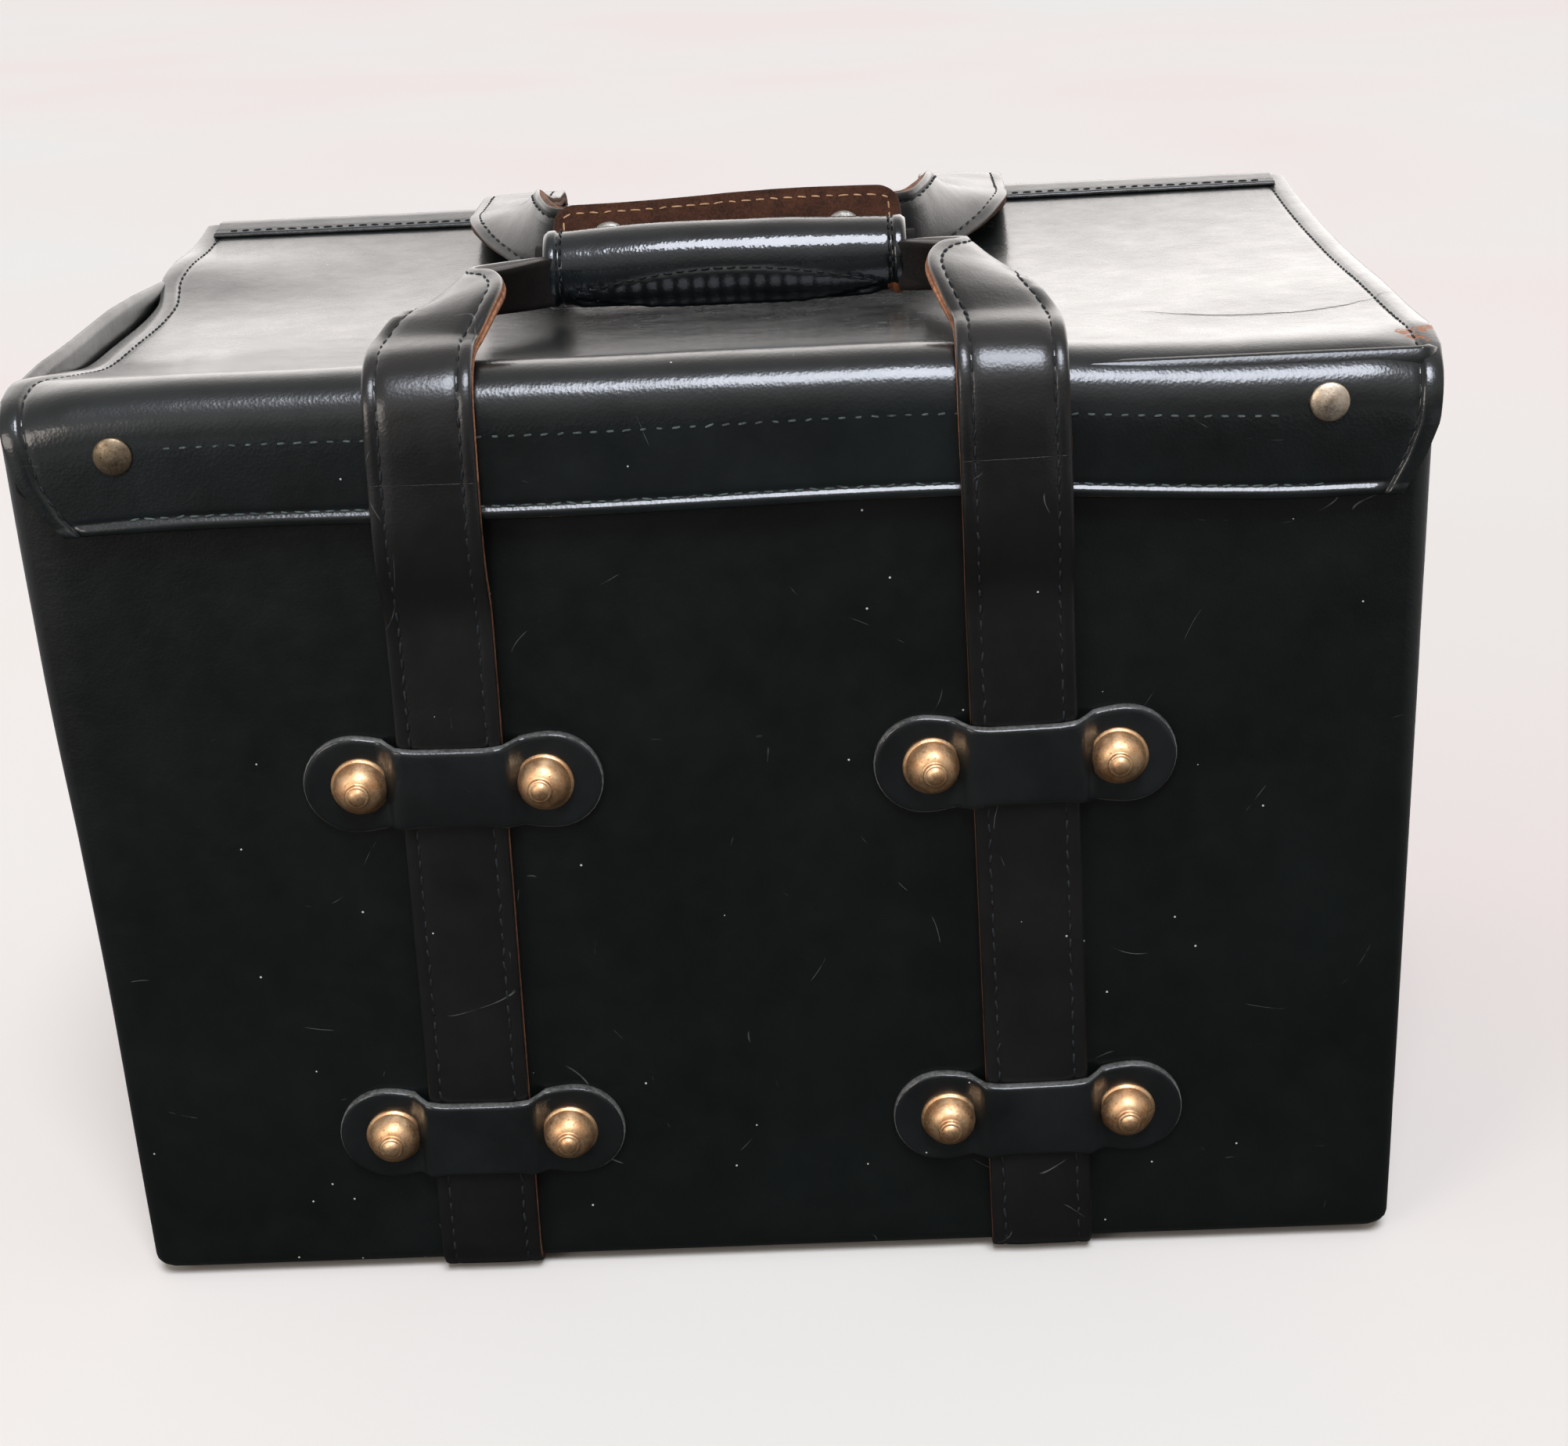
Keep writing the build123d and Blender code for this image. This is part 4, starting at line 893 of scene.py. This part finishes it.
for side, name in ((-1, "left"), (1, "right")):
    later = arch * ([0, 7.0, 1.2] if side > 0 else [0, 0, 0])
    turn_keys = []
    for inner, outer in zip(inner_edge + later, outer_edge + later):
        span = inner - outer
        turn_keys.append([*((inner + outer) / 2), *unit(span),
                          min(np.linalg.norm(span), STRAP_WIDTH), 4.8])
    route = through(strap_keys(leg_keys + bend_keys) + turn_keys, 1.5)
    split = int(np.argmin(np.abs(route[:, 2] - LEG_SPLIT)))
    leg_skin, shoulder_skin = Skin(), Skin()
    sweep_strap(leg_skin, route, mirror=-side, seed=11.0 * side, part=slice(0, split + 1))
    sweep_strap(shoulder_skin, route, mirror=-side, seed=11.0 * side, part=slice(split, None),
                edge_at=shoulder_edge)
    leg = leg_skin.sew(f"front_{name}_leg_strap", strap_finishes, (f"front_{name}_leg",))
    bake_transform(leg)
    shoulder = shoulder_skin.sew(f"front_{name}_shoulder_strap", strap_finishes,
                                 (f"front_{name}_shoulder",))
    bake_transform(shoulder)

# %% [markdown]
# The rear strap is one run from keeper to keeper: up the back, over the hinge edge, through a
# turned loop at each side and across behind the grip as the second hand strap. There it hangs
# a little below its working line, so that the open wrap hides it from the front.

# %% Rear strap
HINGE_Y, HINGE_Z = 139.5, 297.5
REAR_LINE = box("rear_left_leg")[1][1] - STRAP_THICK / 2
REAR_BEND = REAR_LINE - HINGE_Y
HAND_Y = middle("rear_hand_strap")[1]
HAND_LINE = 306.3
up_back = [(-strap_x(z), y, z, -1, 0, 0) for z, y in (
    (CUT_Z, WALL_LINE), (UPPER_KEEPER_Z + 14, WALL_LINE), (225, WALL_LINE + 0.3), (248, WALL_LINE + 1.2),
    (264, REAR_LINE - 0.8), (278, REAR_LINE), (HINGE_Z - 2, REAR_LINE))]
over_edge = [(-strap_x(HINGE_Z), HINGE_Y + REAR_BEND * math.cos(math.radians(a)),
              HINGE_Z + REAR_BEND * math.sin(math.radians(a)), -1, 0, -0.04 * a / 90)
             for a in (25, 50, 75, 95)]
to_hand = [(-85, 122, 305.4, -0.99, 0, -0.08), (-84.6, 106, 306.6, -0.98, -0.02, -0.16),
           (-84, 90, 308.0, -0.96, 0.05, -0.22), (-81.5, 73, 309.4, -0.88, 0.0, -0.42, 29, 5),
           (-76.5, 56, 309.6, -0.60, -0.16, -0.76, 27, 4.8),
           (-69.5, 40, 308.0, -0.25, -0.12, -0.95, 26, 4.8),
           (-60, 27, HAND_LINE, 0, 0, -1, 26, 5), (-45, HAND_Y, HAND_LINE, 0, 0, -1, 26, 5),
           (0, HAND_Y, HAND_LINE, 0, 0, -1, 26, 5)]
left_keys = strap_keys(up_back + over_edge + to_hand)
right_keys = [[-x, y, z, -wx, *rest] for x, y, z, wx, *rest in left_keys[-2::-1]]
rear_skin = Skin()
sweep_strap(rear_skin, through(left_keys + right_keys, 1.8), seed=31.0)
rear_strap = rear_skin.sew("rear_loop_strap", strap_finishes, (
    "rear_left_leg", "rear_right_leg", "rear_left_shoulder", "rear_right_shoulder", "rear_hand_strap"))
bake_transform(rear_strap)

# %% [markdown]
# A keeper is a dumbbell of thick leather, bent over its strap like a bridge and riveted through
# two ears. Its outline is a waist between two round ears, so one formula gives it, and rings
# drawn inward from the outline round the top edge off. The bend over the strap is soft, as
# leather that was wetted and pressed.

# %% Keepers
EAR = 15.5
WAIST = 12.4
KEEPER_HALF = np.ptp(box("front_left_upper_keeper"), axis=0)[0] / 2
KEEPER_THICK = 2.8
BRIDGE = STRAP_THICK + 0.55
# Share of the way to the outline and height over the flesh side of each ring, from the middle of
# the flesh side to the middle of the face.
KEEPER_RINGS = [(0.0, 0.0), (0.4, 0.0), (0.8, 0.0), (1.0, 0.0), (1.0, 0.9), (0.995, 1.9), (0.975, 2.45),
                (0.93, 2.75), (0.86, 2.86), (0.7, 2.9), (0.45, 2.95), (0.2, 2.97), (0.0, 2.97)]
keeper_hide = hide("keeper_hide_black_thick", "#090c0c", "#151a1b", coat=0.9, coat_roughness=0.20,
                   roughness=0.42, wear=0.8, dust=0.5, seed=240)


def dumbbell():
    """Outline of a keeper as (along, across) points, going round once."""
    centre = KEEPER_HALF - EAR
    a = centre * np.sin(np.linspace(-math.pi / 2, math.pi / 2, 32))
    top = np.stack([a, WAIST + (EAR - WAIST) * ease(np.abs(a), 9, centre)], 1)
    turn = np.linspace(math.pi / 2, -math.pi / 2, 18)[1:-1]
    ear = np.stack([centre + EAR * np.cos(turn), EAR * np.sin(turn)], 1)
    return np.concatenate([top, ear, -top, -ear])


def bridge_rise(a):
    """How far the keeper stands off the panel at a distance along it."""
    return BRIDGE * (1 - ease(np.abs(a), STRAP_WIDTH / 2 + 0.2, STRAP_WIDTH / 2 + 5.6))


def keeper_point(a, b, out, side, outward, z):
    """Moves a point from the keeper's own plane to its place on the panel."""
    lean = math.atan(TOE_IN / CASE_HEIGHT) * side
    x = side * strap_x(z) + a * math.cos(lean) - b * math.sin(lean)
    return np.stack([x, outward * (FRONT + out), z + a * math.sin(lean) + b * math.cos(lean)], -1)


def make_keeper(name, side, outward, z, seed):
    """One keeper, from the middle of its flesh side out to its edge and back over its face."""
    outline = dumbbell()
    centre = np.clip(outline[:, 0], EAR - KEEPER_HALF, KEEPER_HALF - EAR)
    rows = []
    for share, height in KEEPER_RINGS:
        a = centre + (outline[:, 0] - centre) * share
        b = outline[:, 1] * share
        curl = 0.35 * np.array([noise.noise(Vector((p * 0.05, q * 0.05, seed))) for p, q in zip(a, b)])
        cup = 0.5 * max(share - 0.6, 0) * (np.abs(a) > 20)
        rise = bridge_rise(a) + height + (curl + cup if height > 0.5 else 0)
        rows.append(keeper_point(a, b, rise, side, outward, z))
    keeper_skin = Skin()
    # The keeper's rim rings take the grey edge finish, whose grey is painted sheen.
    keeper_skin.grid(rows, [[0]] * 3 + [[1]] * 3 + [[0]] * (len(KEEPER_RINGS) - 7), loop=True)
    keeper = keeper_skin.sew(name + "_strap", [keeper_hide, painted_sheen_edge], (name,))
    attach(keeper, "case")


seed = 1.0
for outward, face in ((-1, "front"), (1, "back")):
    for side, name in ((-1, "left"), (1, "right")):
        for z, level in ((UPPER_KEEPER_Z, "upper"), (LOWER_KEEPER_Z, "lower")):
            make_keeper(f"{face}_{name}_{level}_keeper", side, outward, z, seed)
            seed += 7.3

# %% [markdown]
# The bell studs are turned from brass bar: a thin skirt, a full bell, a narrow neck and a
# button with a groove cut round it. A lathe makes each one from a profile, so a revolve is the
# true way. They were set by hand, so each one leans a few degrees its own way.

# %% Bell studs
STUD_TURNS = 40
bell = [(0.0, -1.0), (8.6, -1.0), (8.95, 0.05), (9.05, 0.5), (8.9, 0.95), (8.35, 1.3), (8.15, 1.55),
        (8.2, 1.9), (8.05, 2.7), (7.75, 3.7), (7.25, 4.8), (6.55, 5.9), (5.7, 6.8), (4.75, 7.45),
        (4.0, 7.75), (3.6, 7.9), (3.45, 8.15), (3.65, 8.4), (3.8, 8.75), (3.75, 9.2), (3.5, 9.6),
        (3.1, 9.85), (2.85, 9.8), (2.65, 10.0), (2.3, 10.35), (1.6, 10.7), (0.8, 10.9), (0.0, 10.95)]


def turned(skin, profile, centre, axis, finish=0):
    """Revolves a (radius, height) profile about an axis and adds it to the skin."""
    axis = unit(np.array(axis, float))
    across = unit(np.cross(axis, [0.3, 0.1, 1.0]))
    t = np.arange(STUD_TURNS) / STUD_TURNS * 2 * math.pi
    ring = np.cos(t)[:, None] * across + np.sin(t)[:, None] * np.cross(axis, across)
    radius, height = np.array(profile).T[..., None, None]
    skin.grid(np.array(centre) + height * axis + radius * ring, finish, loop=True)


stud_reach = KEEPER_HALF - EAR - 2.25
for outward, face in ((-1, "front"), (1, "back")):
    stud_skin = Skin()
    for side in (-1, 1):
        for z in (LOWER_KEEPER_Z, UPPER_KEEPER_Z):
            for end in (-1, 1):
                seat = keeper_point(np.array(end * stud_reach), np.array(0.0), KEEPER_THICK, side,
                                    outward, z)
                lean_x, lean_z = random.normal(0, 0.035, 2)
                turned(stud_skin, bell, seat, (lean_x, outward, lean_z))
    studs = stud_skin.sew(face + "_bell_studs", [aged_brass], (face + "_studs",))
    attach(studs, "case")

# %% [markdown]
# The flap closes on two press studs. Each cap is a thin nickel dome rolled over its rim. The
# left one has lost its plate and gone brown, and the right one still shines like ivory.

# %% Press stud caps
cap_low, cap_high = box("snap_caps")
CAP_R = (cap_high[2] - cap_low[2]) / 2
CAP_X = cap_high[0] - CAP_R
CAP_Z = middle("snap_caps")[2]
cap_profile = [(0, -2.2), (CAP_R - 0.6, -0.4), (CAP_R - 0.1, 0.15), (CAP_R, 0.5), (CAP_R - 0.2, 0.85),
               (CAP_R - 0.7, 1.15), (CAP_R - 1.6, 1.5), (CAP_R - 2.8, 1.85), (2.0, 2.15), (0.9, 2.28),
               (0, 2.3)]
cap_skin = Skin()
turned(cap_skin, cap_profile, (-CAP_X, FLAP_Y - 0.1, CAP_Z), (0.03, -1, -0.02), 0)
turned(cap_skin, cap_profile, (CAP_X, FLAP_Y - 0.1, CAP_Z), (-0.02, -1, 0.03), 1)
caps = cap_skin.sew("press_stud_caps", [brown_nickel, ivory_nickel], ("snap_caps",))
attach(caps, "lid")

# %% [markdown]
# The hand grip is a roll of leather sewn round a core. Its seam runs along the lower front,
# where the surplus is gathered into a crescent of small pleats, and a rim of folded leather
# closes each end. One grid round the roll carries all of it: the crescent lifts the skin, a
# cosine along the length makes the gathers, and the rims are a bump at both ends.

# %% Hand grip
GRIP_HALF = 59.0
GRIP_R = 12.9
FIN_TURN = math.radians(213)
FIN_HALF = 52.0
PLEAT = 5.2
RIM_FROM = 54.6
SEAM_HALF = 49
HOOP_X = 53.6
GRIP_SAG, GRIP_CROWN = 0.6, 0.66


def roll_z(share):
    """Height of the roll's middle line at a share of the way to its end."""
    return GRIP_Z - GRIP_SAG + GRIP_CROWN * (1 - share**2)


def crescent(x):
    """Half height of the gathered crescent at a place along the grip."""
    return 0.5 + 7.2 * np.clip(1 - (x / FIN_HALF)**2, 0, 1)


grip_x = np.concatenate([[-GRIP_HALF], np.linspace(-GRIP_HALF, GRIP_HALF, 190), [GRIP_HALF]])
grip_turn = np.linspace(0, 2 * math.pi, 96, endpoint=False)
along, turn_at = np.meshgrid(grip_x, grip_turn, indexing="ij")
end_share = np.abs(along) / GRIP_HALF
girth = GRIP_R * (1 - 0.075 * end_share**3 + 0.03 * (1 - end_share**2))
from_fin = (turn_at - FIN_TURN + math.pi) % (2 * math.pi) - math.pi
crescent_share = np.clip(1 - (along / FIN_HALF)**2, 0, 1)
inside_fin = ease(-np.abs(from_fin * GRIP_R / crescent(along)), -1.0, -0.86)
inside_fin = inside_fin * ease(crescent_share, 0.0, 0.12)
gather = 0.5 + 0.5 * np.cos(2 * math.pi * along / PLEAT + 1.1 * np.sin(along / 17))
ridge = np.exp(-((from_fin - 0.42) / 0.16)**2) * ease(crescent_share, 0.0, 0.2)
girth += inside_fin * (0.85 + 0.17 * gather * ease(crescent_share, 0.1, 0.5)) + 1.2 * ridge
from_middle = np.abs(along)
rim = 0.50 + 0.15 * np.sin(np.clip((from_middle - RIM_FROM) / 4.4, 0, 1) * math.pi)
rim = rim * ease(from_middle, RIM_FROM, RIM_FROM + 0.7) - 0.8 * ease(from_middle, 57.6, GRIP_HALF)
girth += rim - 0.4 * np.exp(-((from_middle - 54.0) / 0.5)**2)
wobble = np.array([[noise.noise(Vector((x / 26, math.cos(t) * 0.7, math.sin(t) * 0.7 + 5)))
                    for t in grip_turn] for x in grip_x])
girth += 0.45 * wobble * (1 - rim)
grip_rows = np.stack([along, GRIP_Y + girth * np.cos(turn_at),
                      roll_z(end_share) + girth * np.sin(turn_at)], -1)
for last, beside, end in ((0, 1, -1), (-1, -2, 1)):
    grip_rows[last, :, 0] -= end * 0.6
    grip_rows[last, :, 1:] = [GRIP_Y, GRIP_Z] + 0.45 * (grip_rows[beside, :, 1:] - [GRIP_Y, GRIP_Z])
closing = [[[end * (GRIP_HALF - 1.5), GRIP_Y, GRIP_Z]] * len(grip_turn) for end in (-1, 1)]
grip_rows = np.concatenate([closing[:1], grip_rows, closing[1:]])
grip_skin = Skin()
grip_skin.grid(grip_rows, 0, loop=True)
print("grip grid", grip_rows.shape[:2])

# %% Stitches of the grip
seam_x = np.linspace(-SEAM_HALF, SEAM_HALF, 90)
seam_turn = FIN_TURN - crescent(seam_x) * 0.98 / GRIP_R
seam_out = np.stack([0 * seam_x, np.cos(seam_turn), np.sin(seam_turn)], 1)
seam_line = np.stack([seam_x, 0 * seam_x + GRIP_Y, roll_z(seam_x / GRIP_HALF)], 1)
stitch_row(grip_skin, seam_line + seam_out * (GRIP_R * 1.02 + 0.75), seam_out, 1, pitch=4.2,
           length=2.9, radius=0.36)
hoop_turn = np.linspace(-0.6, 3.6, 40)
hoop_out = np.stack([0 * hoop_turn, np.cos(hoop_turn), np.sin(hoop_turn)], 1)
for end in (-1, 1):
    hoop = np.array([end * HOOP_X, GRIP_Y, GRIP_Z - 0.4]) + hoop_out * (GRIP_R * 0.97)
    stitch_row(grip_skin, hoop, hoop_out, 1, pitch=4.0, length=2.8, radius=0.36)
grip = grip_skin.sew("hand_grip", [grip_hide, black_thread], ("grip_wrap",))
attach(grip, "front_grip")

# %% [markdown]
# Behind the grip stands the open wrap, a flap of red-brown suede with its black finished side
# turned away and two press stud sockets. It is a thick sheet on a curve, so the grid gives it a
# front, a back and a rounded rim, and a row of tan stitches follows its border.

# %% Open wrap
wrap_low, wrap_high = box("wrap_flap")
WRAP_HALF = (wrap_high[0] - wrap_low[0]) / 2 + 0.5
WRAP_ROOT_Y, WRAP_ROOT_Z = wrap_low[1:]
WRAP_HEIGHT = wrap_high[2] - wrap_low[2]
WRAP_CORNER = 8.0
WRAP_THICK = 2.0


def wrap_y(v):
    """Where the wrap stands at a share of its height, leaning back along a curve."""
    return WRAP_ROOT_Y + 1.4 * v + 6.4 * v**2


u, v = np.meshgrid(np.linspace(-1, 1, 110), np.linspace(0, 1, 30), indexing="ij")
corner_drop = np.clip(np.abs(u) * WRAP_HALF - (WRAP_HALF - WRAP_CORNER), 0, WRAP_CORNER)
height = WRAP_HEIGHT - (WRAP_CORNER - np.sqrt(np.clip(WRAP_CORNER**2 - corner_drop**2, 0, None)))
height = height - 5.4 + 0.9 * u + 0.5 * np.sin(u * 3.1) - 0.8 * u**2
wrap_front = np.stack([u * WRAP_HALF, wrap_y(v) + 0.5 * np.sin(u * 5 + 1) * v,
                       WRAP_ROOT_Z + height * v], -1)
wrap_normal = grid_normals(wrap_front)
wrap_normal *= np.where(wrap_normal[..., 1:2] < 0, 1, -1)
wrap_front = wrap_front + wrap_normal * (0.22 * waves(wrap_front, 11) * v)[..., None]
wrap_skin = Skin()
wrap_skin.sheet(wrap_front, wrap_front - wrap_normal * WRAP_THICK, (0, 1, 1))
for border_line in (np.s_[3:-3, -5], np.s_[4, 8:-5], np.s_[-5, 8:-5]):
    stitch_row(wrap_skin, wrap_front[border_line], wrap_normal[border_line], 2, pitch=4.6,
               length=3.0, radius=0.34)
wrap = wrap_skin.sew("open_wrap", [wrap_suede, grip_hide, tan_thread], ("wrap_flap",))
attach(wrap, "wrap")

# %% Wrap press studs
SOCKET_X = box("wrap_sockets")[1][0] - 6.0
SOCKET_Z = middle("wrap_sockets")[2] - 6.9
SOCKET_Y = wrap_y((SOCKET_Z - WRAP_ROOT_Z) / WRAP_HEIGHT)
dome = [(0, -0.5), (6.0, -0.2), (6.1, 0.2), (5.8, 0.6), (5.0, 0.9), (4.2, 1.4), (3.2, 1.9), (1.8, 2.2),
        (0.8, 2.3), (0, 2.32)]
socket_skin = Skin()
for side in (-1, 1):
    turned(socket_skin, dome, (side * SOCKET_X, SOCKET_Y - 0.2, SOCKET_Z + 1.0), (0, -1, 0.33))
sockets = socket_skin.sew("wrap_press_studs", [plain_nickel], ("wrap_sockets",))
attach(sockets, "wrap")

# %% [markdown]
# A strip of leather is sewn over the hinge edge. It is glued to the back and to the lid, and bends over the
# piping between them. It is made in its rest place and does not follow the lid when the lid opens.

# %% Hinge strip
band_low, band_high = box("hinge_band")
BAND_HALF = (band_high[0] - band_low[0]) / 2 + 2.0
BAND_R = 4.3
BAND_ON_LID = 13.5
band_x = np.concatenate([[-BAND_HALF - 0.4], np.linspace(-BAND_HALF, BAND_HALF, 90), [BAND_HALF + 0.4]])
on_lid = np.linspace(REAR_Y - BAND_ON_LID, REAR_Y - 1, 9)
lift = 0.55 + 0.5 * ease(on_lid, REAR_Y - BAND_ON_LID, REAR_Y - 11)
bend = np.linspace(0.1, math.pi / 2, 8)
over_and_down = [*zip(HINGE_Y + BAND_R * np.sin(bend), HINGE_Z + BAND_R * np.cos(bend)),
                 *((HINGE_Y + BAND_R, z) for z in np.linspace(HINGE_Z - 3, band_low[2], 10))]
band_rows = np.array([[(x, y, z) for y, z in [*zip(on_lid, lid_z(x, on_lid) + lift), *over_and_down]]
                      for x in band_x])
band_normal = grid_normals(band_rows)
band_normal *= np.where(band_normal[..., 1:].sum(-1, keepdims=True) < 0, -1, 1)
relief = 0.75 + 0.15 * waves(band_rows, 14)
relief[:, [2, -3]] -= 0.25
band_out = band_rows + band_normal * relief[..., None]
band_skin = Skin()
band_skin.sheet(band_out, band_rows - band_normal * 0.25, (0, 0, 1))
for row, pitch in ((2, 4.6), (-3, 4.8)):
    stitch_row(band_skin, band_out[2:-2, row], band_normal[2:-2, row], 2, pitch=pitch, length=3.4,
               radius=0.42)
band = band_skin.sew("hinge_strip", [binding_hide, painted_sheen_edge, black_thread], ("hinge_band",))
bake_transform(band)

# %% [markdown]
# The foam pad in the floor of the case is covered in brushed cloth. It is crowned, drawn down
# along its edge and quilted by two lines of stitches each way.

# %% Floor pad
PAD_EDGE, PAD_CROWN = 2.6, 5.6
QUILT_DEPTH, QUILT_HALF = 2.2, 3.2
QUILT_LINES = (-0.33, 0.33)
pad_low, pad_high = box("base_pad")
pad_x = np.linspace(pad_low[0] + 1, pad_high[0] - 1, 100)
pad_y = np.linspace(pad_low[1] + 1, pad_high[1] - 1, 72)
px, py = np.meshgrid(pad_x, pad_y, indexing="ij")
to_side = np.minimum(px - pad_x[0], pad_x[-1] - px)
to_end = np.minimum(py - pad_y[0], pad_y[-1] - py)
crown = np.sqrt(1 - (1 - np.clip(np.minimum(to_side, to_end) / 7, 0, 1))**2)
quilt = sum(np.exp(-((px - share * pad_x[-1]) / QUILT_HALF)**2)
            + np.exp(-((py - share * pad_y[-1]) / QUILT_HALF)**2) for share in QUILT_LINES)
soft = waves(np.stack([px, py, 0 * px], -1), 40)
pad_z = pad_low[2] + PAD_EDGE + crown * (PAD_CROWN - QUILT_DEPTH * np.clip(quilt, 0, 1) + 0.6 * soft)
pad_skin = Skin()
pad_skin.sheet(np.stack([px, py, pad_z], -1), np.stack([px, py, 0 * px + pad_low[2] + 0.2], -1))
pad = pad_skin.sew("quilted_floor_pad", [pad_cloth], ("base_pad",))
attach(pad, "case")

# %% [markdown]
# The remaining pieces keep their mechanical shape, because a rivet or a wire ring already has
# the real form. They only need the finish of what they are made of.

# %% Finishes on the frame's own pieces
kept = {"lining": lining_suede, "hinge_piping": binding_hide, "front_stud_burrs": aged_brass,
        "back_stud_burrs": aged_brass, "snap_studs": plain_nickel, "snap_sockets": plain_nickel,
        "flap_facing": flesh_side, "left_ring_tab": strap_hide, "right_ring_tab": strap_hide,
        "left_d_ring": plain_nickel, "right_d_ring": plain_nickel, "grip_core": flesh_side}
for name, finish in kept.items():
    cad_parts[name].data.materials.clear()
    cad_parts[name].data.materials.append(finish)
left_plain = [n for n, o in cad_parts.items() if not o.hide_render and n not in kept]
print("plain nodes left", left_plain)
